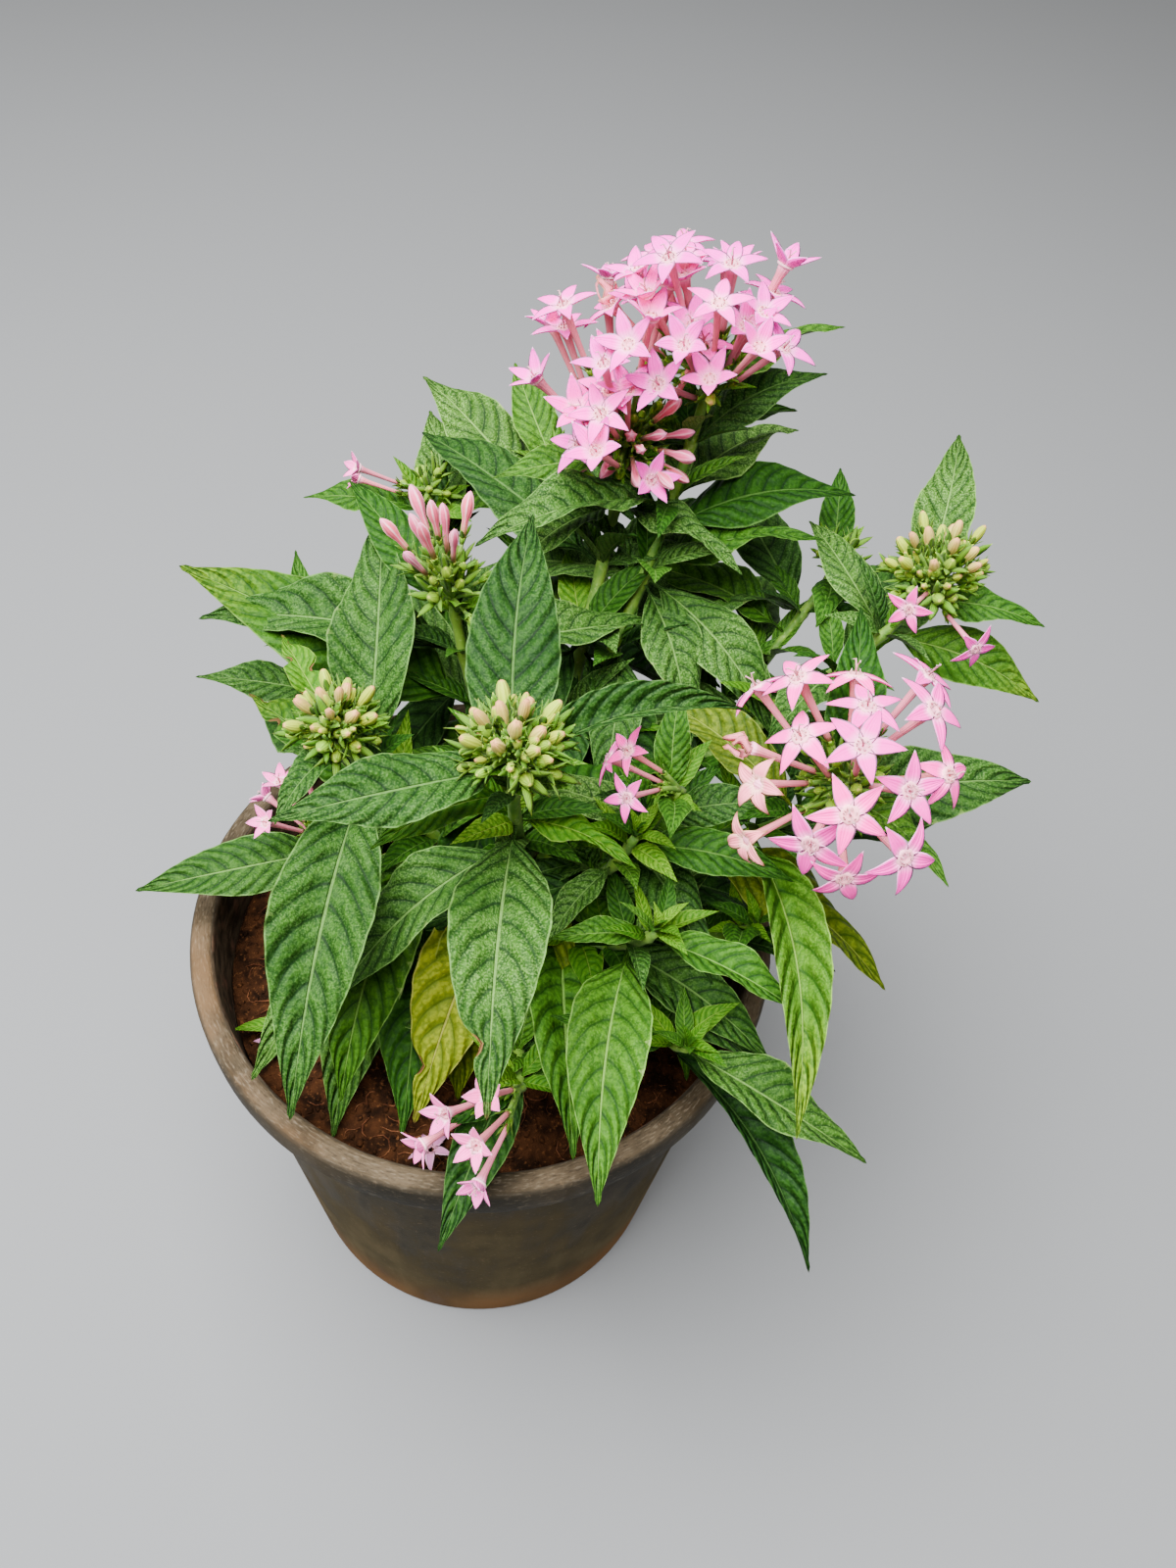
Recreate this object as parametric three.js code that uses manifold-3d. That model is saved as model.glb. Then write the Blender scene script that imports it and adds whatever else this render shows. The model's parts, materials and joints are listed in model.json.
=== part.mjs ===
// A potted pentas: a short woody stem in a nursery pot, with leafy shoots that carry flowers and buds.
// Millimetres, +Z up. The origin is the centre of the pot's flat underside, and -Y is the front.
// Every turn is in degrees round +Z from +X, and every rise is in degrees above level.
import * as THREE from "three";
import Module from "manifold-3d";

const wasm = await Module();
wasm.setup();

// Pot: a thin wall that widens upwards to a lip that turns out and down
const potHeight = 193;
const rimRadius = 100;
const baseRadius = 79.5;
const potWall = 1.6;
const floorThickness = 2.6;
const cornerRadius = 3;
const cornerShare = 0.3;
const lipWidth = 8;
const lipDrop = 15;
const skirtDraft = 0.4;
const potSides = 40;
const drainHoles = 6;
const drainRadius = 6;
const drainCircle = 62;
const drainSides = 10;

// Soil: fills the pot up to this height, flat in the middle and sunk a little at the wall
const soilHeight = 170;
const soilSink = 3;
const soilFlat = 0.8;

// Touching pieces keep the clearance, and a leaf is skipped where it comes closer than the least gap
const clearance = 0.3;
const leastGap = 0.25;

// Main stem: a flared foot, a slight lean and a long taper. The stations are shares of its length.
const stemFoot = [12, 10];
const stemTop = [22, 27, 256];
const stemRadius = 4.6;
const stemTopRadius = 2.6;
const flare = 3.4;
const flareHeight = 9;
const stemSides = 10;
const stemStations = [0, 0.04, 0.1, 0.2, 0.35, 0.55, 0.78, 1];

// Shoots: each is one arched curve from the main stem to its tip, a bough below and a leafy mass above.
// The arch's control point lies at these shares of the way out and up.
const archOut = 0.75;
const archUp = 0.42;
const boughRadius = 2.7;
const shootRadius = 1.7;
const tipRadius = 1.3;
const limbStep = 15;
const limbSides = 6;
const massFoot = 6;

// Leaves: opposite pairs, each a quarter turn round from the pair above, further apart lower down
const firstDrop = 6;
const dropStep = 13;
const dropGrowth = 2.2;
const topRise = 35;
const riseStep = 22;
const youngShare = 0.6;
const grownPair = 2;
const turnJitter = 14;
const riseJitter = 8;
const lengthJitter = 0.08;

// Shape of a leaf, with its lengths as shares of its own length
const leafBend = 40;
const leafBreadth = 0.33;
const leafThickness = 1.3;
const leafFold = 18;
const petiole = 0.1;
const rootSink = 1;
const longLeaf = 70;
const longStations = [0.07, 0.34, 0.6, 0.83];
const shortStations = [0.08, 0.42, 0.75];

// Flowers: a narrow tube that opens into a star. Every second one of a head stands a little lower.
const petals = 5;
const flowerRadius = 11;
const flowerWaist = 0.4;
const flowerThickness = 1.4;
const throatDepth = 2.5;
const tubeRadius = 1.6;
const reachChange = 0.08;

// Closed buds, from clubs about to open down to specks, widest at a share of their length from the tip
const budKinds = {
  clubs: { length: 20, radius: 2.7 },
  buds: { length: 9, radius: 2.7 },
  specks: { length: 5, radius: 1.8 },
};
const budWidest = 0.4;
const budSides = 4;

// The knot at a shoot's tip that its flowers and buds stand on grows with their reach
const hubStart = 1.6;
const hubGrowth = 0.09;
const hubBelow = 1.4;
const hubAbove = 0.8;
const goldenAngle = 137.5;

// Each shoot: its tip, the height where it leaves the main stem, the turn of its first leaf, the number of
// its leaf pairs and their full length. The leaves row holds [turn, rise, length] of the leaves that stand
// out of the rule, in order from the tip. Each spray is [kind, count, reach, turn, lean, spread].
const shoots = {
  tall: {
    tip: [43, 90, 323], fork: 231, turn: 155, pairs: 5, leaf: 74,
    leaves: [[195, 0, 44], [5, 5, 64], [225, 0, 50], [320, 0, 50], [135, 5, 88], [30, 0, 62],
      [5, -10, 94]],
    sprays: [["flowers", 10, 45, 95, 8, 41], ["flowers", 4, 33, 235, 50, 20],
      ["clubs", 8, 28, 300, 66, 34]],
  },
  tall_back: {
    tip: [66, 92, 345], fork: 225, turn: 35, pairs: 5, leaf: 72,
    leaves: [[25, 15, 52], [205, 10, 40], [25, 0, 52], [165, -10, 46]],
    sprays: [["flowers", 13, 35, 215, 12, 48], ["buds", 3, 22, 250, 50, 30]],
  },
  pink_buds: {
    tip: [-11, 41, 300], fork: 216, turn: 130, pairs: 4, leaf: 78,
    leaves: [[130, 20, 56], [320, 20, 34], [170, 0, 86], [15, 0, 66], [160, 15, 106]],
    sprays: [["clubs", 9, 33, 172, 15, 26], ["specks", 5, 16, 330, 45, 60]],
  },
  left_buds: {
    tip: [-42, -2, 288], fork: 195, turn: 120, pairs: 4, leaf: 76,
    leaves: [[120, 10, 44], [240, 0, 34], [88, 20, 86], [260, -20, 102], [140, 5, 66], null,
      [250, -30, 95]],
    sprays: [["buds", 14, 17, 175, 4, 54]],
  },
  front: {
    tip: [6, -38, 320], fork: 209, turn: 15, pairs: 5, leaf: 76,
    leaves: [[15, 5, 64], [200, 5, 62], [86, 25, 82], [210, 5, 42], [265, -5, 86], [330, 5, 38],
      [215, -25, 76], [35, -10, 70], [245, -30, 92]],
    sprays: [["buds", 14, 18, 95, 6, 50]],
  },
  right: {
    tip: [98, -26, 296], fork: 205, turn: 75, pairs: 5, leaf: 78,
    leaves: [[78, 30, 56], [305, 5, 42], [130, 0, 60], [10, 0, 76], [272, -10, 92], [15, -10, 80],
      [330, -20, 78]],
    sprays: [["flowers", 17, 34, 226, 33, 66]],
  },
  right_buds: {
    tip: [136, 45, 305], fork: 213, turn: 70, pairs: 5, leaf: 72,
    leaves: [[71, 25, 62], [345, 0, 40], [110, 8, 52], [345, -15, 58], [235, 10, 60], [40, 0, 70]],
    sprays: [["buds", 13, 22, 110, 10, 48], ["flowers", 2, 27, 262, 88, 38]],
  },
  small: {
    tip: [52, -25, 292], fork: 201, turn: 80, pairs: 3, leaf: 52,
    leaves: [],
    sprays: [["flowers", 3, 24, 190, 50, 28]],
  },
  middle: {
    tip: [41, -31, 278], fork: 192, turn: 345, pairs: 4, leaf: 62,
    leaves: [[345, 0, 48], [140, 5, 36], [228, -15, 34], [0, 0, 38]],
    sprays: [["specks", 3, 8, 0, 0, 60]],
  },
  rosette: {
    tip: [47, -52, 262], fork: 184, turn: 330, pairs: 4, leaf: 66,
    leaves: [[330, 5, 50], [185, 5, 30], [260, -5, 78], [42, 5, 44], [325, -20, 68]],
    sprays: [["specks", 3, 8, 0, 0, 60]],
  },
  low_right: {
    tip: [59, -69, 225], fork: 176, turn: 345, pairs: 3, leaf: 70,
    leaves: [[345, -10, 66], [170, 10, 40], [305, -20, 86], [110, 10, 45]],
    sprays: [["specks", 3, 8, 0, 0, 60]],
  },
  low_front: {
    tip: [10, -75, 212], fork: 176, turn: 5, pairs: 3, leaf: 58,
    leaves: [[5, -5, 34], [215, 10, 30], [248, -5, 64], [60, 0, 40]],
    sprays: [["flowers", 5, 30, 233, 62, 34]],
  },
  low_left: {
    tip: [-55, 16, 212], fork: 176, turn: 195, pairs: 3, leaf: 60,
    leaves: [[195, 0, 68], [10, 20, 45]],
    sprays: [["flowers", 4, 26, 165, 40, 36]],
  },
  back_left: {
    tip: [-21, 110, 285], fork: 199, turn: 170, pairs: 5, leaf: 72,
    leaves: [[172, 0, 46], [350, 10, 40], [95, 20, 62]],
    sprays: [["specks", 7, 11, 0, 0, 70], ["flowers", 2, 26, 195, 66, 20]],
  },
  back_right: {
    tip: [120, 85, 280], fork: 190, turn: 80, pairs: 5, leaf: 74,
    leaves: [[80, 25, 44], [250, 15, 40], [112, 12, 72], [15, 0, 70]],
    sprays: [["specks", 7, 11, 0, 0, 70]],
  },
  back_middle: {
    tip: [26, 120, 290], fork: 221, turn: 110, pairs: 5, leaf: 78,
    leaves: [[112, 25, 52], [310, 10, 38], [130, 8, 82], [40, 5, 70], [335, -15, 76]],
    sprays: [["specks", 7, 11, 0, 0, 70]],
  },
  inner_right: {
    tip: [82, -34, 236], fork: 177, turn: 60, pairs: 3, leaf: 58,
    leaves: [],
    sprays: [["specks", 3, 8, 0, 0, 60]],
  },
  back_low: {
    tip: [58, 128, 232], fork: 178, turn: 50, pairs: 4, leaf: 70,
    leaves: [],
    sprays: [["specks", 3, 8, 0, 0, 60]],
  },
  left_low: {
    tip: [-62, 78, 242], fork: 182, turn: 100, pairs: 4, leaf: 70,
    leaves: [],
    sprays: [["specks", 3, 8, 0, 0, 60]],
  },
};

const vec = (x, y, z) => new THREE.Vector3(x, y, z);
const radians = THREE.MathUtils.degToRad;
const upward = vec(0, 0, 1);

// The same row of numbers from 0 to 1 on every run
let seed = 7;
function random() {
  seed = (seed * 1664525 + 1013904223) % 4294967296;
  return seed / 4294967296;
}

const jitter = (range) => (random() * 2 - 1) * range;

// A level direction, and a direction that rises
const level = (turn) => vec(Math.cos(radians(turn)), Math.sin(radians(turn)), 0);
const aim = (turn, rise) =>
  level(turn).multiplyScalar(Math.cos(radians(rise))).addScaledVector(upward, Math.sin(radians(rise)));

// A closed skin over rows of points, all anticlockwise seen from the last row. The first and the last row
// are single points, and a row may have twice the points of the row before it.
function skin(rows) {
  const faces = [];
  let start = 0;
  for (let row = 0; row + 1 < rows.length; row++) {
    const here = rows[row].length;
    const next = rows[row + 1].length;
    const step = here > 1 && next === here * 2 ? 2 : 1;
    for (let k = 0; k < Math.max(here, next / step); k++) {
      const a = start + (k % here);
      const b = start + ((k + 1) % here);
      const c = start + here + (((k + 1) * step) % next);
      const d = start + here + ((k * step) % next);
      const between = step === 2 ? d + 1 : c;
      if (here > 1) faces.push(a, b, between);
      if (next > 1) faces.push(a, between, d);
      if (step === 2) faces.push(b, c, between);
    }
    start += here;
  }
  return { points: rows.flat(), faces };
}

function solid({ points, faces }) {
  const vertProperties = new Float32Array(points.flatMap((point) => point.toArray()));
  return new wasm.Manifold(new wasm.Mesh({ numProp: 3, vertProperties, triVerts: new Uint32Array(faces) }));
}

// The one closed body that counts: a sealed hollow is filled, and a loose scrap is dropped
function largestBody(shape) {
  return shape.decompose().sort((one, other) => other.volume() - one.volume())[0];
}

function fuse(pieces) {
  return largestBody(pieces.reduce((whole, piece) => whole.add(piece)));
}

function ring(centre, sideways, upright, radius, sides) {
  return Array.from({ length: sides }, (_, k) => {
    const angle = (2 * Math.PI * k) / sides;
    return centre.clone()
      .addScaledVector(sideways, radius * Math.cos(angle))
      .addScaledVector(upright, radius * Math.sin(angle));
  });
}

// A tapering limb with flat ends, over steps that each have a point and the direction there
function limb(steps, radii, sides) {
  let sideways = vec(1, 0, 0);
  const rings = steps.map(({ point, along }, i) => {
    sideways = sideways.clone().addScaledVector(along, -sideways.dot(along)).normalize();
    return ring(point, sideways, along.clone().cross(sideways), radii[i], sides);
  });
  return skin([[steps[0].point], ...rings, [steps.at(-1).point]]);
}

// Steps along a curve between two distances from its tip, about limbStep apart
function stretch(curve, fromDrop, toDrop) {
  const length = curve.getLength();
  const count = Math.max(2, Math.round((fromDrop - toDrop) / limbStep));
  return Array.from({ length: count + 1 }, (_, i) => {
    const drop = fromDrop + ((toDrop - fromDrop) * i) / count;
    const share = Math.max(0, 1 - drop / length);
    return { point: curve.getPointAt(share), along: curve.getTangentAt(share) };
  });
}

function taper(steps, from, to) {
  return steps.map((_, i) => from + ((to - from) * i) / (steps.length - 1));
}

// A turned solid from [radius, height] points, with the lathe's seam and poles merged
function turned(profile) {
  const lathe = new THREE.LatheGeometry(profile.map(([r, z]) => new THREE.Vector2(r, z)), potSides);
  lathe.rotateX(Math.PI / 2);
  const positions = lathe.getAttribute("position");
  const known = new Map();
  const points = [];
  const merged = Array.from({ length: positions.count }, (_, i) => {
    const point = vec().fromBufferAttribute(positions, i);
    const key = point.toArray().map((value) => Math.round(value * 1000)).join(",").replaceAll("-0", "0");
    if (!known.has(key)) {
      known.set(key, points.length);
      points.push(point);
    }
    return known.get(key);
  });
  const faces = [];
  for (let i = 0; i < lathe.index.count; i += 3) {
    const corners = [0, 1, 2].map((k) => merged[lathe.index.getX(i + k)]);
    if (new Set(corners).size === 3) faces.push(...corners);
  }
  return solid({ points, faces });
}

// Pot and soil
const mouthRadius = rimRadius - lipWidth;
const innerBase = baseRadius - potWall;

function innerRadiusAt(height) {
  return innerBase + ((mouthRadius - innerBase) * (height - floorThickness)) / (potHeight - floorThickness);
}

function makePot() {
  const lipTop = potHeight - cornerRadius;
  const corner = cornerRadius * cornerShare;
  const skirtInside = rimRadius - potWall - skirtDraft;
  let pot = turned([
    [0, 0],
    [baseRadius - cornerRadius, 0],
    [baseRadius - corner, corner],
    [baseRadius, cornerRadius],
    [mouthRadius + potWall, lipTop - potWall],
    [skirtInside, lipTop - potWall],
    [skirtInside, potHeight - lipDrop],
    [rimRadius - skirtDraft, potHeight - lipDrop],
    [rimRadius, lipTop],
    [rimRadius - corner, potHeight - corner],
    [rimRadius - cornerRadius, potHeight],
    [mouthRadius + cornerRadius, potHeight],
    [mouthRadius + corner, potHeight - corner],
    [mouthRadius, lipTop],
    [innerBase, floorThickness],
    [0, floorThickness],
  ]);
  for (let k = 0; k < drainHoles; k++) {
    const centre = level((360 * (k + 0.5)) / drainHoles).multiplyScalar(drainCircle);
    const ends = [-1, floorThickness + 1].map((z) => ({ point: centre.clone().setZ(z), along: upward }));
    pot = pot.subtract(solid(limb(ends, [drainRadius, drainRadius], drainSides)));
  }
  return pot;
}

function makeSoil() {
  const bottom = floorThickness + clearance;
  const edge = soilHeight - soilSink;
  return turned([
    [0, bottom],
    [innerRadiusAt(bottom) - clearance, bottom],
    [innerRadiusAt(edge) - clearance, edge],
    [innerRadiusAt(soilHeight) * soilFlat, soilHeight],
    [0, soilHeight],
  ]);
}

// Main stem
const footPoint = vec(...stemFoot, soilHeight + clearance);
const topPoint = vec(...stemTop);
const stemCurve = new THREE.QuadraticBezierCurve3(
  footPoint,
  vec(...stemFoot, (footPoint.z + topPoint.z) / 2),
  topPoint,
);

function stemRadiusAt(share) {
  const height = share * (topPoint.z - footPoint.z);
  return stemRadius + (stemTopRadius - stemRadius) * share + flare * Math.exp(-height / flareHeight);
}

function makeStem(extra) {
  const steps = stemStations.map((share) => ({
    point: stemCurve.getPoint(share),
    along: stemCurve.getTangent(share),
  }));
  return solid(limb(steps, stemStations.map((share) => stemRadiusAt(share) + extra), stemSides));
}

// Boughs
const dropOf = (pair) => firstDrop + dropStep * pair + dropGrowth * pair * pair;
const massDepth = (shoot) => dropOf(shoot.pairs - 1) + massFoot;

function shootCurve({ tip, fork }) {
  const start = stemCurve.getPoint((fork - footPoint.z) / (topPoint.z - footPoint.z));
  const end = vec(...tip);
  const span = end.clone().sub(start);
  const middle = start.clone().add(vec(span.x * archOut, span.y * archOut, span.z * archUp));
  return new THREE.QuadraticBezierCurve3(start, middle, end);
}

// The part of a shoot below its leaves, cut clear of the limbs made before it
function makeBough(shoot, curve, extra, cutters) {
  const steps = stretch(curve, curve.getLength(), massDepth(shoot));
  const bough = solid(limb(steps, taper(steps, boughRadius + extra, shootRadius + extra), limbSides));
  return largestBody(cutters.reduce((rest, cutter) => rest.subtract(cutter), bough));
}

// Half the breadth of a leaf's blade at a place along it
function halfBreadth(place) {
  const blade = Math.max(0, (place - petiole) / (1 - petiole));
  return (leafBreadth / 2) * Math.sin(Math.PI * blade ** 0.8) ** 1.2;
}

// A leaf: a folded diamond section along a midrib that droops at an even rate
function makeLeaf(root, turn, rise, length) {
  const heading = level(turn);
  const sideways = level(turn + 90);
  const droop = radians(leafBend);
  const start = radians(rise) + droop / 2;
  const pointAt = (share) => root.clone()
    .addScaledVector(heading, (length / droop) * (Math.sin(start) - Math.sin(start - droop * share)))
    .addScaledVector(upward, (length / droop) * (Math.cos(start - droop * share) - Math.cos(start)));
  const sections = (length > longLeaf ? longStations : shortStations).map((share) => {
    const slope = start - droop * share;
    const outward = heading.clone().multiplyScalar(-Math.sin(slope))
      .addScaledVector(upward, Math.cos(slope));
    const half = Math.max(leafThickness, halfBreadth(share) * length);
    const across = half * Math.cos(radians(leafFold));
    const lift = half * Math.sin(radians(leafFold));
    const corner = (side, height) => pointAt(share)
      .addScaledVector(sideways, side)
      .addScaledVector(outward, height);
    return [
      corner(across, lift),
      corner(0, leafThickness / 2),
      corner(-across, lift),
      corner(0, -leafThickness / 2),
    ];
  });
  return solid(skin([[root.clone().addScaledVector(heading, -rootSink)], ...sections, [pointAt(1)]]));
}

// The frame of a stalk that leaves a hub one way
function stalk(hub, way) {
  const sideways = vec(-way.y, way.x, 0).normalize();
  return {
    sideways,
    upright: way.clone().cross(sideways),
    at: (distance) => hub.clone().addScaledVector(way, distance),
  };
}

function makeFlower(hub, way, reach) {
  const { sideways, upright, at } = stalk(hub, way);
  const spin = random() * 360;
  const corner = (distance, turn, radius) => at(distance)
    .addScaledVector(sideways, radius * Math.cos(radians(spin + turn)))
    .addScaledVector(upright, radius * Math.sin(radians(spin + turn)));
  const turns = Array.from({ length: petals * 2 }, (_, k) => (180 / petals) * k);
  const isPoint = (_, k) => k % 2 === 0;
  const radiusOf = (k) => flowerRadius * (k % 2 === 0 ? 1 : flowerWaist);
  const throat = turns.filter(isPoint).map((turn) => corner(reach - throatDepth, turn, tubeRadius));
  const star = turns.map((turn, k) => corner(reach, turn, radiusOf(k)));
  return solid(skin([[hub], throat, star, [at(reach + flowerThickness / 2)]]));
}

function makeBud(hub, way, reach, { length, radius }) {
  const { sideways, upright, at } = stalk(hub, way);
  const widest = ring(at(reach - length * budWidest), sideways, upright, radius, budSides);
  return solid(skin([[hub], widest, [at(reach)]]));
}

// Directions spread evenly over a cap round an axis
function capDirections(count, turn, lean, spread) {
  const tilt = new THREE.Quaternion().setFromUnitVectors(upward, aim(turn, 90 - lean));
  return Array.from({ length: count }, (_, i) => {
    const away = spread * Math.sqrt((i + 0.5) / count);
    return aim(goldenAngle * i, 90 - away).applyQuaternion(tilt);
  });
}

function makeSpray(hub, [kind, count, reach, turn, lean, spread]) {
  return capDirections(count, turn, lean, spread).map((way, i) => {
    const own = reach * (1 + (i % 2 === 0 ? reachChange : -reachChange));
    return kind === "flowers" ? makeFlower(hub, way, own) : makeBud(hub, way, own, budKinds[kind]);
  });
}

// Everything placed so far, and whether a piece keeps clear of all that isn't its own mass
const placed = [];

function place(name, shape) {
  placed.push({ name, shape, box: shape.boundingBox() });
}

function isClear(name, piece) {
  const box = piece.boundingBox();
  return placed.every((other) => {
    const far = [0, 1, 2].some((axis) =>
      box.min[axis] > other.box.max[axis] + clearance || box.max[axis] < other.box.min[axis] - clearance);
    return other.name === name || far || piece.minGap(other.shape, 1) > leastGap;
  });
}

// Changes of [turn, rise] that a crowded leaf tries, in order, before it is skipped
const tries = [[0, 0], [0, 8], [8, 0], [-8, 0], [0, -8], [16, 0], [-16, 0], [0, 16], [16, 16], [-16, 16],
  [28, 8], [-28, 8], [0, 30], [28, 24], [-28, 24]];

// The stem of a mass, with the hub of its head
function makeMassStem(shoot, curve) {
  const steps = stretch(curve, massDepth(shoot) - clearance, 0);
  const radius = hubStart + hubGrowth * Math.max(...shoot.sprays.map(([, , reach]) => reach));
  const tip = steps.at(-1);
  const { sideways, upright, at } = stalk(tip.point, tip.along);
  const waist = ring(tip.point, sideways, upright, radius, limbSides);
  const hub = skin([[at(-radius * hubBelow)], waist, [at(radius * hubAbove)]]);
  return solid(limb(steps, taper(steps, shootRadius, tipRadius), limbSides)).add(solid(hub));
}

// A mass: its stem, its sprays and its leaves, fused to one body
function makeMass(name, shoot, curve, stem) {
  const sprays = shoot.sprays.flatMap((row) => makeSpray(vec(...shoot.tip), row));
  const pieces = [stem, ...sprays.filter((piece) => isClear(name, piece))];
  for (let number = 0; number < shoot.pairs * 2; number++) {
    const pair = Math.floor(number / 2);
    const share = youngShare + (1 - youngShare) * Math.min(1, pair / grownPair);
    const byRule = [
      shoot.turn + 90 * pair + 180 * (number % 2) + jitter(turnJitter),
      topRise - riseStep * pair + jitter(riseJitter),
      shoot.leaf * share * (1 + jitter(lengthJitter)),
    ];
    const [turn, rise, length] = shoot.leaves[number] ?? byRule;
    const root = stretch(curve, dropOf(pair), 0)[0].point;
    const fitting = tries
      .map(([moreTurn, moreRise]) => makeLeaf(root, turn + moreTurn, rise + moreRise, length))
      .find((leaf) => isClear(name, leaf));
    if (fitting) pieces.push(fitting);
  }
  return fuse(pieces);
}

// Colours and roughness of the materials
const finishes = {
  pot: [0x54504a, 0.75],
  soil: [0x5c3728, 1],
  wood: [0x6d6a45, 0.8],
  bough: [0x6f8a45, 0.7],
  foliage: [0x3f7a37, 0.65],
};

const plant = new THREE.Group();

function addMesh(name, shape, [color, roughness]) {
  const { vertProperties, triVerts } = shape.getMesh();
  const geometry = new THREE.BufferGeometry();
  geometry.setAttribute("position", new THREE.BufferAttribute(vertProperties, 3));
  geometry.setIndex(new THREE.BufferAttribute(triVerts, 1));
  geometry.computeVertexNormals();
  const mesh = new THREE.Mesh(geometry, new THREE.MeshStandardMaterial({ color, roughness, metalness: 0 }));
  mesh.name = name;
  plant.add(mesh);
}

function addLimb(name, shape, finish) {
  addMesh(name, shape, finish);
  place(name, shape);
}

addLimb("pot", makePot(), finishes.pot);
addLimb("soil", makeSoil(), finishes.soil);
addLimb("main_stem", makeStem(0), finishes.wood);

const grown = Object.entries(shoots).map(([name, shoot]) => ({ name, shoot, curve: shootCurve(shoot) }));
const cutters = [makeStem(clearance)];
for (const { name, shoot, curve } of grown) {
  addLimb(`bough_${name}`, makeBough(shoot, curve, 0, cutters), finishes.bough);
  cutters.push(makeBough(shoot, curve, clearance, []));
}
for (const entry of grown) {
  entry.stem = makeMassStem(entry.shoot, entry.curve);
  place(entry.name, entry.stem);
}
for (const { name, shoot, curve, stem } of grown) {
  const mass = makeMass(name, shoot, curve, stem);
  addMesh(`foliage_${name}`, mass, finishes.foliage);
  place(name, mass);
}

export default plant;
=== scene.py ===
# %% [markdown]
# # A potted pentas
# The plant is a short woody stem in a plastic nursery pot, with leafy shoots that end in domed heads of
# pink star flowers or in buds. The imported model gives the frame: pot, soil, stem, boughs and one solid for
# each mass of leaves. Each solid is replaced here by finer meshes that grow by the same rule.

# %% Load the frame
import json
import math
import random

import bmesh
import bpy
import numpy as np
from mathutils import Matrix, Quaternion, Vector
from mathutils import noise as lumps
from mathutils.kdtree import KDTree

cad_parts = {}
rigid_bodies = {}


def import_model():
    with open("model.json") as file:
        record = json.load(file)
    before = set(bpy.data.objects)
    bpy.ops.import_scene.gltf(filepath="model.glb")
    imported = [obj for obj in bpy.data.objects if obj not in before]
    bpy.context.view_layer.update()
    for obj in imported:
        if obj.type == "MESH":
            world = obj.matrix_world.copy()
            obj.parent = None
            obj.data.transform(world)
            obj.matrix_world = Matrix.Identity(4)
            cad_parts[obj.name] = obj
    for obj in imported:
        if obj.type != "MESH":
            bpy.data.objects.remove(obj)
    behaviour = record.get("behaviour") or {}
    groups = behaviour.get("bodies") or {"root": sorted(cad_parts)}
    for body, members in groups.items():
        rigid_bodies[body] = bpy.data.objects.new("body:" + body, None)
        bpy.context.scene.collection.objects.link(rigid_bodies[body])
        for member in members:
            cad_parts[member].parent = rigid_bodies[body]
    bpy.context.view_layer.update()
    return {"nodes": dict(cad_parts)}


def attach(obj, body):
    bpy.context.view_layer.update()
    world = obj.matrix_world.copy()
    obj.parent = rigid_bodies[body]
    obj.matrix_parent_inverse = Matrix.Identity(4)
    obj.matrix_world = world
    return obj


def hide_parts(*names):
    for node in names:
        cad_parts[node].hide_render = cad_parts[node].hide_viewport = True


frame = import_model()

nodes = sorted(frame["nodes"])

# %% [markdown]
# ## Camera, floor and light
# The plant is seen from above the front rim of its pot. The camera's place and turn come from the outline
# of the rim and the pot's base. The light is an overcast sky: one wide lamp overhead and a pale surround,
# so shadows are soft and the upper leaves catch a little sheen.

# %% Camera
camera_place = (0.0, -0.2256, 0.5411)
camera_turn = (39.163, -4.071, -2.689)
camera_lens = 27.13
near_clip = 0.01


def show(thing):
    bpy.context.scene.collection.objects.link(thing)


camera = bpy.data.objects.new("camera", bpy.data.cameras.new("camera"))
camera.location = camera_place
camera.rotation_euler = [math.radians(angle) for angle in camera_turn]
camera.data.lens = camera_lens
camera.data.clip_start = near_clip
show(camera)
bpy.context.scene.camera = camera
print("camera at", camera_place)

# %% Floor, lamp and surround
floor_colour = (0.165, 0.17, 0.175, 1)
floor_size = 6.0
floor_roughness = 0.9
sky_size = 1.3
sky_place = (-0.35, -0.15, 1.5)
sky_power = 137.0
surround_colour = (1.0, 0.99, 0.96, 1)
surround_strength = 0.6

bpy.ops.mesh.primitive_plane_add(size=floor_size)
floor = bpy.context.object
floor.name = "floor"
floor_finish = bpy.data.materials.new("floor")
floor_finish.use_nodes = True
floor_shader = floor_finish.node_tree.nodes["Principled BSDF"]
floor_shader.inputs["Base Color"].default_value = floor_colour
floor_shader.inputs["Roughness"].default_value = floor_roughness
floor.data.materials.append(floor_finish)

lamp = bpy.data.objects.new("sky", bpy.data.lights.new("sky", "AREA"))
lamp.data.size = sky_size
lamp.data.energy = sky_power
lamp.location = sky_place
lamp.rotation_euler = (-Vector(sky_place)).to_track_quat("-Z", "Y").to_euler()
show(lamp)

world = bpy.context.scene.world or bpy.data.worlds.new("surround")
bpy.context.scene.world = world
world.use_nodes = True
world.node_tree.nodes["Background"].inputs["Color"].default_value = surround_colour
world.node_tree.nodes["Background"].inputs["Strength"].default_value = surround_strength
print("lamp", sky_power, "W, surround", surround_strength)

# %% [markdown]
# ## How the plant grows
# Every shoot is one arched curve from the main stem to its tip. Its leaves stand in opposite pairs, each a
# quarter turn round from the pair above and further apart lower down. Flowers and buds spread from a knot
# at the tip. These are the sizes, in millimetres and degrees, and the same row of chance numbers that the
# solids were grown with, so every leaf here lies in its solid.

# %% Sizes of the pot, stem and shoots
MM = 0.001
pot_height = 193
rim_radius = 100
base_radius = 79.5
pot_wall = 1.6
pot_floor = 2.6
lip_width = 8
lip_drop = 15
soil_height = 170
clearance = 0.3

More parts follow.
